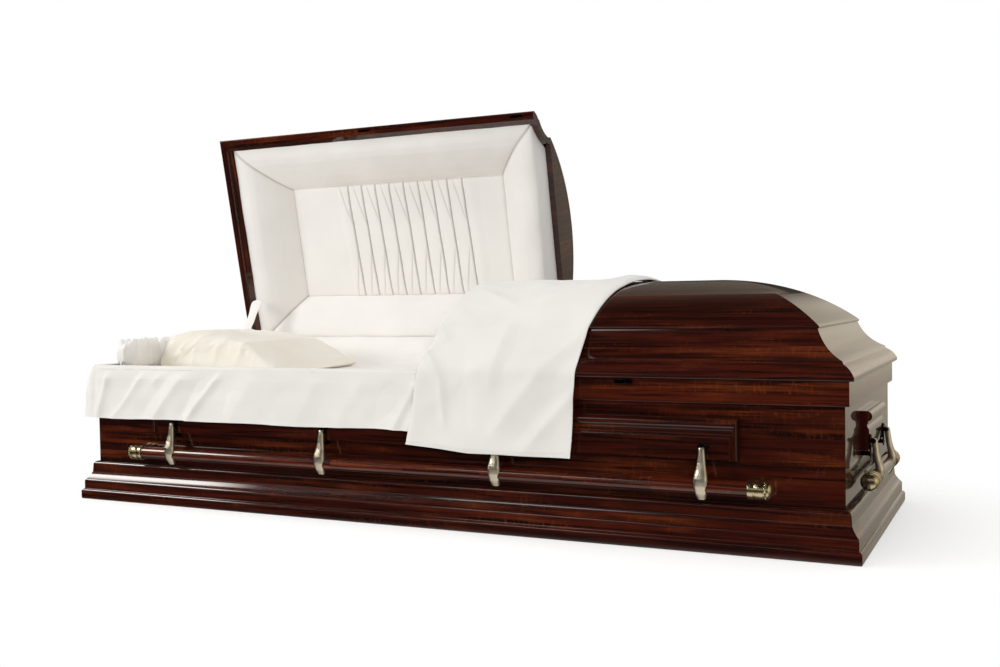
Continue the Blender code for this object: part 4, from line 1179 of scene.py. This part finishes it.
def throw():
    rows, columns = 150, 96
    even, spine = throw_spine(rows)
    slope = np.gradient(spine, axis=0)
    slope /= np.linalg.norm(slope, axis=1, keepdims=True)
    left, right = along_table(even, THROW_EDGES)
    share = np.linspace(0.0, 1.0, columns)
    x = left[:, None] + (right - left)[:, None] * share[None, :]
    start = 0.105 * (1 - share) ** 2
    seam_run = float(np.interp(SEAM_HEIGHT, spine[::-1, 1], even[::-1]))
    upper = start[None, :] + (seam_run - start)[None, :] * np.linspace(0.0, 1.0, SEAM_ROW + 1)[:, None]
    lower = np.repeat(np.linspace(seam_run, even[-1], rows - SEAM_ROW)[1:, None], columns, axis=1)
    run = np.concatenate([upper, lower])
    raised = 0.014 * unit(1 - share / 0.4)[None, :] * unit((run - seam_run) / (even[-1] - seam_run))
    edge = np.minimum(np.minimum(share * 0.4, (1 - share) * 0.4)[None, :], (even[-1] - run)) / 0.012
    hanging = unit((run - 0.5) / 0.08)
    soft = rumple(x, run, (9.0, 3.7, 0.006), (26.0, 6.4, 0.0018))
    lift = folds(x, run, THROW_FOLDS) * 1.4 + soft + 0.0042
    lift = np.clip(lift, 0.0008, None) * unit(0.25 + edge)
    from_edge = np.minimum(((1 - share)[None, :] * (right - left)[:, None]), even[-1] - run)
    lift -= 0.0016 * bell(from_edge - BORDER, 0.0012)
    lift += 0.001 * bell(from_edge - BORDER * 0.5, 0.0025)
    puff = 0.006 * np.exp(-((x - 0.452) / 0.04) ** 2 - ((run - 0.06) / 0.06) ** 2)
    puff += 0.003 * np.exp(-((x - 0.36) / 0.11) ** 2 - ((run - 0.07) / 0.07) ** 2)
    wave = np.sin(x * 41.0 + 0.8) * 0.003 * unit((run - 0.6) / 0.12)
    columns_of = (slope[:, 1], -slope[:, 0], spine[:, 0], spine[:, 1])
    out_y, out_z, line_y, line_z = (np.interp(run, even, values) for values in columns_of)
    stand = lift + wave + 0.0015 * hanging
    y = line_y + out_y * stand
    z = line_z + out_z * stand + puff + raised
    front = points_at(x, y, z)
    back_grid = front.copy()
    back_grid[..., 1] -= out_y * 0.0024
    back_grid[..., 2] -= out_z * 0.0024
    high, low = slice(SEAM_ROW + 1), slice(SEAM_ROW, None)
    piece = shell("throw_cloth", front[high], back_grid[high], SHADED_WHITE, "foot_lid", ["throw"])
    hem = shell("throw_hem", front[low], back_grid[low], SHADED_WHITE, "foot_lid")
    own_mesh(hem)
    print("throw area", round(surface_area(front), 4), "lowest", round(float(z.min()), 4))


throw()

# %% [markdown]
# ## Lining of the body
# Shirred cloth covers the inside of the walls. A stuffed roll stands along the head end, gathered
# into narrow puffs. The mattress is one padded slab with a lightly quilted top.

# %% Body lining, roll and mattress
LINING_SECTION = (
    (0.0, 0.121), (0.0, 0.364), (0.3, 0.3668), (0.75, 0.366), (1.0, 0.361), (1.0, 0.35),
    (0.85, 0.33), (0.8, 0.121))
ROLL_X = -0.9765
ROLL_Y = (-0.308, 0.184)
SHEET_LINE = metres(
    (373.5, 430), (370.5, 419), (362, 405), (346, 389.5), (328, 377), (310, 369), (295, 362), (278, 354.5),
    (260, 348.5), (240, 346), (190, 345.2), (100, 344.9))


def shirred_lining():
    inset = INNER_INSET + 0.0006
    half_x, half_y = HALF_LENGTH - inset, HALF_WIDTH - inset
    stops = [(half_x, half_y), (-half_x, half_y), (-half_x, -half_y), (half_x, -half_y)]
    sections = []
    for start, end in zip(stops, stops[1:] + stops[:1]):
        length = math.dist(start, end)
        count = int(length / 0.0045)
        inward = np.array((-(end[1] - start[1]), end[0] - start[0])) / length
        for step in range(count):
            share = step / count
            spot = np.array(start) + (np.array(end) - np.array(start)) * share
            near = min(share, 1 - share) * length
            puff = 0.5 + 0.5 * math.sin(share * length * 520.0 + 1.4 * math.sin(share * length * 61.0))
            deep = 0.0032 + 0.0048 * puff * min(1.0, near / 0.012)
            corner = -np.sign(spot) * 0.002 if near < 0.002 else 0
            section = []
            for depth, height in LINING_SECTION:
                place = spot + inward * deep * depth + corner * depth
                section.append((float(place[0]), float(place[1]), height))
            sections.append(section)
    lining = sweep("body_lining_cloth", sections, WHITE, True, smooth=80.0)
    dress(lining, "casket_body", WHITE, "body_lining")
    return len(sections)


def head_roll():
    """A gathered pocket along the head end: puffs on its faces, a fold open along its top."""
    low, high = ROLL_Y
    columns, rows = 260, 60
    y = np.linspace(low, high, columns)
    turns = np.radians(np.linspace(-62, 242, rows))
    span, turn = np.meshgrid(y, turns)
    fan = span + 0.02 * np.cos(turn) * unit((-0.1 - span) / 0.2)
    puffs = np.abs(np.sin(fan * 120.0 + 1.1 * np.sin(fan * 31.0)))
    ends = np.clip(np.minimum(span - low, high - span) / 0.024, 0.02, 1.0) ** 0.5
    squared = 1.0 / np.maximum(np.abs(np.cos(turn)) ** 4 + np.abs(np.sin(turn)) ** 4, 0.1) ** 0.25
    radius = 0.0265 * squared * (0.9 + 0.1 * puffs ** 0.6) * (0.35 + 0.65 * ends)
    creased = wander(fan, turn * 0.03, 48.0, 4.4) * 0.005
    reach = radius + creased * unit(np.sin(turn) + 0.5)
    x = ROLL_X + reach * np.cos(turn)
    height = 0.053 * np.where(np.sin(turn) > 0, 1.0, 0.55)
    z = 0.3965 + height * reach / 0.0265 * np.sin(turn)
    mouth = bell(x - ROLL_X, 0.0105) * unit(np.sin(turn))
    z -= 0.016 * mouth * unit((span - low) / 0.03)
    z += wander(span, span * 0, 6.0, 1.2) * 0.008 * unit(np.sin(turn))
    z = np.maximum(z, 0.369)
    front = points_at(x, span, z)
    core = points_at(ROLL_X + 0.05 * (x - ROLL_X), span, 0.3694 + 0.02 * (z - 0.3694))
    piece = shell("head_roll", front, core, WHITE, "casket_body")
    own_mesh(piece)
    print("roll", front.reshape(-1, 3).min(0).round(3), front.reshape(-1, 3).max(0).round(3))


def bed_sheet():
    """A loose cloth from the bed up over the back rail to the lid."""
    reach = path_lengths(SHEET_LINE)
    run, x = np.meshgrid(np.linspace(0.0, reach[-1], 46), np.linspace(-0.97, 0.078, 220), indexing="ij")
    y, z = (np.interp(run, reach, SHEET_LINE[:, k]) for k in (0, 1))
    inner = unit(run / 0.02) * unit((reach[-1] - 0.14 - run) / 0.05)
    lift = (rumple(x, run, (7.0, 6.6, 0.01), (21.0, 3.3, 0.003)) + 0.0035) * inner
    front = points_at(x, y - 0.6 * lift, z + 0.8 * lift)
    back_grid = front + np.array((0.0, 0.0004, -0.0008))
    piece = shell("bed_sheet", front, back_grid, WHITE, None)
    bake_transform(piece)


def mattress():
    half_x, half_y, low, top = 0.99, 0.3, 0.016, 0.3445
    ease = 0.03

    def edge_steps(half, count):
        inner = np.linspace(-(half - ease), half - ease, count)
        rounds = [half - ease + ease * math.sin(math.radians(t)) for t in (18, 36, 54, 72, 90)]
        return np.concatenate([[-half], [-r for r in reversed(rounds)], inner, rounds, [half]])

    def edge_drop(values, half):
        over = unit((np.abs(values) - (half - ease)) / ease)
        drop = ease * (1 - np.sqrt(1 - over ** 2))
        drop[0] = drop[-1] = top - low
        return drop

    xs, ys = edge_steps(half_x, 150), edge_steps(half_y, 56)
    x, y = np.meshgrid(xs, ys)
    drop = np.maximum(edge_drop(xs, half_x)[None, :], edge_drop(ys, half_y)[:, None])
    flat = drop < 0.001
    quilt = 0.0012 * (np.abs(np.sin(x * 17.0)) ** 0.35 - 1)
    quilt += 0.0008 * (np.abs(np.sin(y * 21.0 + 0.6)) ** 0.35 - 1)
    slack = wander(x, y, 11.0, 9.3) * 0.001 - 0.0005
    z = top - drop + np.where(flat, quilt + slack, 0.0)
    front = points_at(x, y, np.minimum(z, top))
    base = points_at(x, y, np.full_like(x, low - 0.0002))
    piece = shell("mattress_cover", front, base, CREAM, "casket_body", ["bed_mattress"])


print("lining sections", shirred_lining())
head_roll()
mattress()
bed_sheet()

# %% [markdown]
# ## Pillow
# The pillow is a loose case filled with soft stuffing. It starts as a thin lens a little smaller
# than the real one, and a short cloth simulation with air pressure in it blows it up, so its sides
# pull in between the corners. Puckers that run in from its corners are pressed in afterwards.

# %% Pillow
PILLOW_CENTRE = Vector((-0.718, 0.0, 0.366))
PILLOW_HALF = (0.222, 0.232)
PILLOW_LOW = 0.3452
PILLOW_TOP = 0.463


def pillow_blank(steps=40):
    share = np.linspace(-1.0, 1.0, steps)
    u, v = np.meshgrid(share, share)
    wedge = unit((1 + u) / 0.09) ** 0.5 * (1 - unit((u + 0.5) / 1.5) ** 2.3)
    swell = wedge * (1 - np.abs(v) ** 5) ** 0.5
    x = PILLOW_CENTRE.x + PILLOW_HALF[0] * u * (1 - 0.05 * v * v)
    y = PILLOW_CENTRE.y + PILLOW_HALF[1] * v * (1 - 0.05 * u * u)
    seam = PILLOW_CENTRE.z - 0.006 * u
    high = seam + 0.004 + 0.074 * swell
    low = np.maximum(seam - 0.003 - 0.03 * swell ** 0.5, PILLOW_LOW)
    return points_at(x, y, high), points_at(x, y, low)


def blow_up(pad, pressure, cap, frames=20):
    """Cloth with air pressure for a few frames; no point moves further than the cap."""
    start = np.array([v.co for v in pad.data.vertices])
    air = modify(pad, "CLOTH")
    air.settings.use_pressure = True
    air.settings.uniform_pressure_force = pressure
    air.settings.effector_weights.gravity = 0.0
    air.settings.tension_stiffness = 12.0
    air.settings.compression_stiffness = 12.0
    air.settings.bending_stiffness = 0.6
    air.point_cache.frame_end = frames
    for number in range(1, frames + 1):
        bpy.context.scene.frame_set(number)
    settle(pad)
    bpy.context.scene.frame_set(1)
    moved = np.array([v.co for v in pad.data.vertices]) - start
    length = np.linalg.norm(moved, axis=1, keepdims=True)
    moved *= np.minimum(1.0, cap / np.maximum(length, 1e-9))
    pad.data.vertices.foreach_set("co", (start + moved).ravel())


PILLOW_FOLDS = metres(
    (-935, -200, -800, -20, 10, 8.5), (-905, -218, -760, -60, 11, 7.5), (-880, -222, -800, -130, 8, -5),
    (-850, -225, -770, -120, 9, 6.5), (-800, -228, -760, -150, 9, 5), (-720, -228, -700, -150, 12, 4),
    (-640, -228, -640, -160, 12, 3.5), (-925, 190, -820, 80, 12, 6), (-880, 215, -800, 120, 12, 5),
    (-520, -190, -600, -100, 14, 4), (-560, 200, -640, 110, 14, 4.5), (-900, -50, -780, 60, 20, 4))


def pucker(places):
    """Heights of the puckers that fan in from the corners, over a slow unevenness of the stuffing."""
    x, y = places[:, 0], places[:, 1]
    return folds(x, y, PILLOW_FOLDS) + rumple(x, y, (9.0, 7.7, 0.008), (30.0, 1.7, 0.0016))


def pillow():
    high, low = pillow_blank()
    piece = shell("pillow_case", high, low, CREAM, None)
    modify(piece, "REMESH", mode="VOXEL", voxel_size=0.006)
    settle(piece)
    blow_up(piece, 4.0, 0.016)
    modify(piece, "SUBSURF", levels=1, render_levels=1)
    settle(piece)
    places = np.array([v.co for v in piece.data.vertices])
    normals = np.array([v.normal for v in piece.data.vertices])
    places += normals * pucker(places)[:, None] * unit((normals[:, 2:] + 0.3) / 0.8)
    flatter = 0.6 * unit((places[:, 0] + 0.64) / 0.14) ** 1.4
    places[:, 2] = PILLOW_LOW + (places[:, 2] - PILLOW_LOW) * (1 - flatter)
    places[:, 2] = np.clip(places[:, 2], PILLOW_LOW, PILLOW_TOP + 0.003)
    piece.data.vertices.foreach_set("co", places.ravel())
    piece.data.materials.clear()
    piece.data.materials.append(CREAM)
    piece.data.shade_smooth()
    piece.data.update()
    dress(piece, "casket_body", CREAM, "pillow")
    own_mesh(piece)
    print("pillow points", len(places), "box", places.min(0).round(3), places.max(0).round(3))


pillow()

# %% [markdown]
# ## Lining of the head lid
# Four stuffed borders with mitred corners frame a pleated centre panel. They are built with the
# lid closed and turned open with it. Each pleat is a fold edge with the cloth rising towards it,
# and shorter folds run in from the top and bottom to join it.

# %% Border pads
LINING_LEVELS = metres(
    (48, 22.5, 65), (52, 20.5, 63.5), (56, 19, 60.5), (64, 17.8, 54.5), (75, 17.8, 45), (90, 21.5, 29),
    (110, 31, 8), (135, 49.5, -18), (160, 70, -43), (185, 94, -69), (196, 107, -80), (200.5, 115, -84))
SPLIT_FACET = metres(
    (134, 105, 65.5), (100, 64, 65.8), (66, 29, 65.6))
SPLIT_LEVELS = np.concatenate([SPLIT_FACET, LINING_LEVELS])


def lining_corner(share, levels):
    """Head x, split x, half width and height of the border at a share of its way inwards."""
    steps = np.concatenate([[0.0], np.cumsum(np.hypot(np.diff(levels[:, 0]), np.diff(levels[:, 1])))])
    setback, rise, split = (np.interp(share * steps[-1], steps, levels[:, k]) for k in range(3))
    return -(HALF_LENGTH - setback), split, HALF_WIDTH - setback, LID_BOTTOM + rise


def border_pads():
    share = np.linspace(0.0, 1.0, 48)
    for number, side in enumerate(("front", "split", "hinge", "head")):
        head, split, reach, height = lining_corner(share, SPLIT_LEVELS if side == "split" else LINING_LEVELS)
        corners_at = [(head, -reach), (split, -reach), (split, reach), (head, reach), (head, -reach)]
        first = 0.42 if side == "split" else 0.12
        puffed = 0.0055 * np.sin(np.pi * unit((share - first) / (0.94 - first))) ** 0.8
        start, end = corners_at[number], corners_at[number + 1]
        columns = 120 if side in ("front", "hinge") else 56
        spread = np.linspace(0.0, 1.0, columns)
        x = start[0][:, None] + (end[0] - start[0])[:, None] * spread[None, :]
        y = start[1][:, None] + (end[1] - start[1])[:, None] * spread[None, :]
        length = np.hypot(end[0] - start[0], end[1] - start[1])[:, None]
        near = np.minimum(spread, 1 - spread)[None, :] * length
        mitre = 0.005 * bell(near, 0.009, 1.3)
        # Painted shade along the mitres at each corner of the border.
        crease_shade = 0.55 * bell(near, 0.0022) * np.ones_like(x)
        ripple = rumple(x, y, (10.0, 1.7 + number, 0.006), (34.0, 2.9 + number, 0.0012))
        inner = bell(1 - share[:, None], 0.1)
        along = x if side in ("front", "hinge") else y
        gather = np.sin(along * 210.0 + 3 * ripple * 300) * 0.001 * inner
        body = unit(near / 0.03) * np.sin(np.pi * share)[:, None] ** 0.5
        z = height[:, None] - puffed[:, None] + mitre * np.sin(np.pi * share)[:, None]
        z += (ripple + gather) * body
        front = points_at(x, y, z)
        back_grid = front + np.array((0.0, 0.0, 0.0055))
        nodes = ["lid_lining"] if side == "front" else []
        piece = shell(f"lid_pad_{side}", front, back_grid, WHITE, "head_lid", nodes, crease_shade)


border_pads()
print("border pads made")

# %% Pleated centre panel
PLEAT_TOPS = np.linspace(-0.647, -0.2265, 9)
PLEAT_FEET = np.linspace(-0.629, -0.218, 9)
PANEL_EDGE_Y = 0.184
PANEL_HEAD_X = -0.866
PANEL_SPLIT_X = -0.083


def pleats(x, y):
    """How far the pleats stand out of the panel, and the painted shade along their edges and joining folds.
    """
    down = (y + PANEL_EDGE_Y) / (2 * PANEL_EDGE_Y)
    step = PLEAT_TOPS[1] - PLEAT_TOPS[0]
    slant = PLEAT_TOPS[0] + (PLEAT_FEET[0] - PLEAT_TOPS[0]) * down
    place = (x - slant) / step
    phase = place - np.floor(place)
    inside = unit((place + 0.9) / 0.3) * unit((9.0 - place) / 0.5)
    rise = 0.0042 * phase ** 1.4 + 0.0016 * np.sin(np.pi * phase)
    line = bell(np.minimum(phase, 1 - phase) * step, 0.0017) * inside
    groove = -0.0045 * line
    total = (rise + groove) * inside
    shorter = []
    for index in range(9):
        top, foot = PLEAT_TOPS[index], PLEAT_FEET[index]
        shorter.append((top - step * 0.62, -PANEL_EDGE_Y, top + (foot - top) * 0.36, -0.055, 0.002, 1.0))
        shorter.append((foot - step * 0.52, PANEL_EDGE_Y, top + (foot - top) * 0.62, 0.035, 0.002, 1.0))
    ends = 1 - 0.45 * np.abs(2 * down - 1) ** 3
    joining = unit(folds(x, y, shorter, 2.0))
    return (total - 0.0028 * joining) * ends, 0.5 * line + 0.38 * joining


def pleated_panel():
    spans = ((PANEL_HEAD_X, -0.705, 22), (-0.7035, -0.1655, 360), (-0.163, PANEL_SPLIT_X, 12))
    xs = np.concatenate([np.linspace(*span) for span in spans])
    ys = np.linspace(-PANEL_EDGE_Y, PANEL_EDGE_Y, 60)
    x, y = np.meshgrid(xs, ys)
    near = np.minimum(np.minimum(x - PANEL_HEAD_X, PANEL_SPLIT_X - x), PANEL_EDGE_Y - np.abs(y))
    seam = 0.0045 * bell(near, 0.006, 1.2)
    soft = wander(x, y, 12.0, 5.5) * 0.004
    height, crease_shade = pleats(x, y)
    # Painted shade also runs along the panel's edge seams.
    crease_shade = np.maximum(crease_shade, 0.35 * bell(near, 0.003))
    z = LID_BOTTOM + 0.1105 + seam - height + soft * unit(near / 0.03)
    front = points_at(x, y, z)
    behind = front + np.array((0.0, 0.0, 0.003))
    piece = shell("lid_panel_pleated", front, behind, WHITE, "head_lid", (), crease_shade)
    print("panel faces", len(piece.data.polygons))


pleated_panel()

# %% [markdown]
# ## Stay
# A cloth-covered strap checks the head lid.

# %% Stay
STAY_FOOT = Vector((-0.991, 0.214, 0.369))
STAY_HEAD = Vector((-0.991, 0.325, 0.554))


def stay():
    rows, columns = 60, 9
    share = np.linspace(0.0, 1.0, rows)
    run = STAY_HEAD - STAY_FOOT
    across = np.linspace(-1.0, 1.0, columns)
    taper = np.minimum(1.0, np.sqrt(np.clip(1 - ((share - 0.94) / 0.06).clip(0, 1) ** 2, 0.02, 1.0)))
    half = (0.0125 + 0.0075 * share ** 2) * taper * (1 + 0.05 * np.sin(share * 23.0))
    x = STAY_FOOT.x + 0.006 * share[:, None] ** 2 + half[:, None] * across[None, :]
    sag = 0.006 * np.sin(np.pi * share)
    y = STAY_FOOT.y + run.y * share + sag * run.z / run.length
    z = STAY_FOOT.z + run.z * share - sag * run.y / run.length
    swell = 0.0022 * (1 - across ** 2)[None, :] * taper[:, None] + 0.0006
    sideways = Vector((0.0, -run.z, run.y)).normalized()
    middle = points_at(x, np.repeat(y[:, None], columns, 1), np.repeat(z[:, None], columns, 1))
    shift = swell[..., None] * np.array(sideways)
    piece = shell("lid_stay_strap", middle + shift, middle - shift, WHITE, None, ["lid_stay"])
    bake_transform(piece)


stay()

# %% [markdown]
# ## Bottom board
# The board under the casket keeps its solid. It gets a plain planed finish, since nobody sees it
# when the casket stands.

# %% Bottom board


def planed_board():
    board = Finish("planed_board")
    place = board.coordinate("Object", (3.0, 55.0, 3.0))
    lines = board.noise(place, 1.0, 4.0, 0.6)
    fibres = board.noise(board.coordinate("Object", (20.0, 400.0, 20.0)), 1.0, 2.0, 0.5)
    base = board.mix(lines.ramp(0.35, 0.65), tone(0.16, 0.045, 0.02), tone(0.07, 0.018, 0.009))
    board.set(Base_Color=base, Roughness=0.62, Normal=board.bump(fibres, 0.0002, 0.4))
    return board.material


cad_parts["bottom_board"].material_slots[0].material = planed_board()
print("nodes still shown", [n for n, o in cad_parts.items() if not o.hide_render])

# %% [markdown]
# ## Studio
# The photograph is a cut-out on white. A white world stands behind, a pale floor lies below, and
# large soft lights light the cloth. Lacquer shows what it reflects, so the world that a reflection
# sees is a dark room with a soft box at its left front, a small strip, and a bright warm wall behind.

# %% World, floor and lights
SOFT_SKY = 0.49
WALL_GLOW = 0.93
LEFT_SOFTBOX = 15.0
FRONT_STRIP = 4.5
FRONT_WINDOW = 0.5
GROUND_GLOW = 0.75
FLOOR_HALF = 4.0


def studio_world():
    world = bpy.data.worlds.new("studio")
    bpy.context.scene.world = world
    world.use_nodes = True
    world.node_tree.nodes.clear()
    sky = Graph(world.node_tree)
    toward = sky.node("ShaderNodeTexCoord", {}, {}, "Generated")
    x, y, z = (sky.node("ShaderNodeSeparateXYZ", {}, {"Vector": toward}, axis) for axis in "XYZ")
    cloudy = sky.noise(toward, 2.6).ramp(0.35, 0.62, 0.5, 1.0)
    low_wall = z.ramp(-0.12, 0.1, 0.5, 1.0)
    far = low_wall * x.ramp(-0.17, -0.05) * x.ramp(0.24, 0.4, 1.0, 0.3) * y.ramp(0.1, 0.6)
    far = far * z.ramp(-0.75, -0.15) * cloudy
    beyond = x.ramp(0.55, 0.9) * z.ramp(-0.55, 0.05) * cloudy * 0.8
    haze = y.ramp(0.2, 0.6) * z.ramp(0.02, 0.25) * z.ramp(0.62, 0.86, 1.0, 0.0) * 0.16
    warm = far.math("MAXIMUM", beyond).math("MAXIMUM", haze) * WALL_GLOW
    front = y.ramp(-0.45, -0.05, 1.0, 0.0)
    high = z.ramp(0.48, 0.53) * z.ramp(0.66, 0.72, 1.0, 0.0) * front
    softbox = high * x.ramp(-0.655, -0.61, 1.0, 0.0) * LEFT_SOFTBOX
    strip = high * z.ramp(0.56, 0.62, 1.0, 0.0) * x.ramp(-0.5, -0.46) * x.ramp(-0.38, -0.28, 1.0, 0.0)
    strip = strip * FRONT_STRIP
    window = z.ramp(0.16, 0.24) * z.ramp(0.34, 0.42, 1.0, 0.0) * front * FRONT_WINDOW
    ground = z.ramp(-0.6, -0.3, 1.0, 0.0) * front * GROUND_GLOW
    cold = softbox + strip + window + ground + 0.006
    channels = {"Red": warm + cold, "Green": warm * 0.89 + cold * 0.97, "Blue": warm * 0.71 + cold * 0.93}
    seen = sky.node("ShaderNodeCombineColor", {}, channels)

    def light(color, strength):
        return sky.node("ShaderNodeBackground", {}, {"Color": color, "Strength": strength})

    soft = light(tone(1.0, 0.985, 0.96), SOFT_SKY)
    shiny = sky.node("ShaderNodeLightPath", {}, {}, "Is Glossy Ray")
    direct = sky.node("ShaderNodeLightPath", {}, {}, "Is Camera Ray")
    lit = sky.node("ShaderNodeMixShader", {}, {0: shiny, 1: soft, 2: light(seen, 1.0)})
    whole = sky.node("ShaderNodeMixShader", {}, {0: direct, 1: lit, 2: light(tone(1.0, 1.0, 1.0), 1.0)})
    sky.node("ShaderNodeOutputWorld", {}, {"Surface": whole})


def soft_light(name, place, aim, width, height, power):
    lamp = bpy.data.lights.new(name, "AREA")
    lamp.shape = "RECTANGLE"
    lamp.size = width
    lamp.size_y = height
    lamp.energy = power
    thing = placed(name, lamp)
    away = Vector(place) - Vector(aim)
    thing.matrix_world = Matrix.Translation(place) @ away.to_track_quat("Z", "Y").to_matrix().to_4x4()
    thing.visible_glossy = False
    thing.visible_camera = False


def pale_floor():
    """A floor that fades away from the casket, so that it leaves no horizon."""
    mesh = bpy.data.meshes.new("floor")
    outline = [(x * FLOOR_HALF, y * FLOOR_HALF, -0.0005) for x, y in ((-1, -1), (1, -1), (1, 1), (-1, 1))]
    mesh.from_pydata(outline, [], [(0, 1, 2, 3)])
    paint = Finish("pale_floor")
    place = paint.coordinate("Object", (0.62, 1.0, 1.0))
    apart = paint.node("ShaderNodeVectorMath", {"operation": "LENGTH"}, {0: place}, "Value")
    fade = apart.ramp(0.62, 1.15, 0.8, 0.0)
    paint.set(Base_Color=tone(0.95, 0.95, 0.95), Roughness=0.9, Specular_IOR_Level=0.1, Alpha=fade)
    paint.set(Emission_Color=tone(1.0, 1.0, 1.0), Emission_Strength=0.28)
    mesh.materials.append(paint.material)
    floor = placed("floor", mesh)
    floor.visible_glossy = False


studio_world()
pale_floor()
soft_light("overhead", (0.2, -0.6, 3.2), (0.0, 0.0, 0.4), 3.2, 2.2, 27.0)
soft_light("front_left", (-3.3, -2.3, 1.5), (-0.3, 0.0, 0.4), 1.2, 1.0, 61.0)
soft_light("front_right", (2.3, -2.9, 1.5), (-0.2, 0.0, 0.4), 1.2, 1.0, 28.0)
bpy.context.scene.view_settings.view_transform = "Standard"
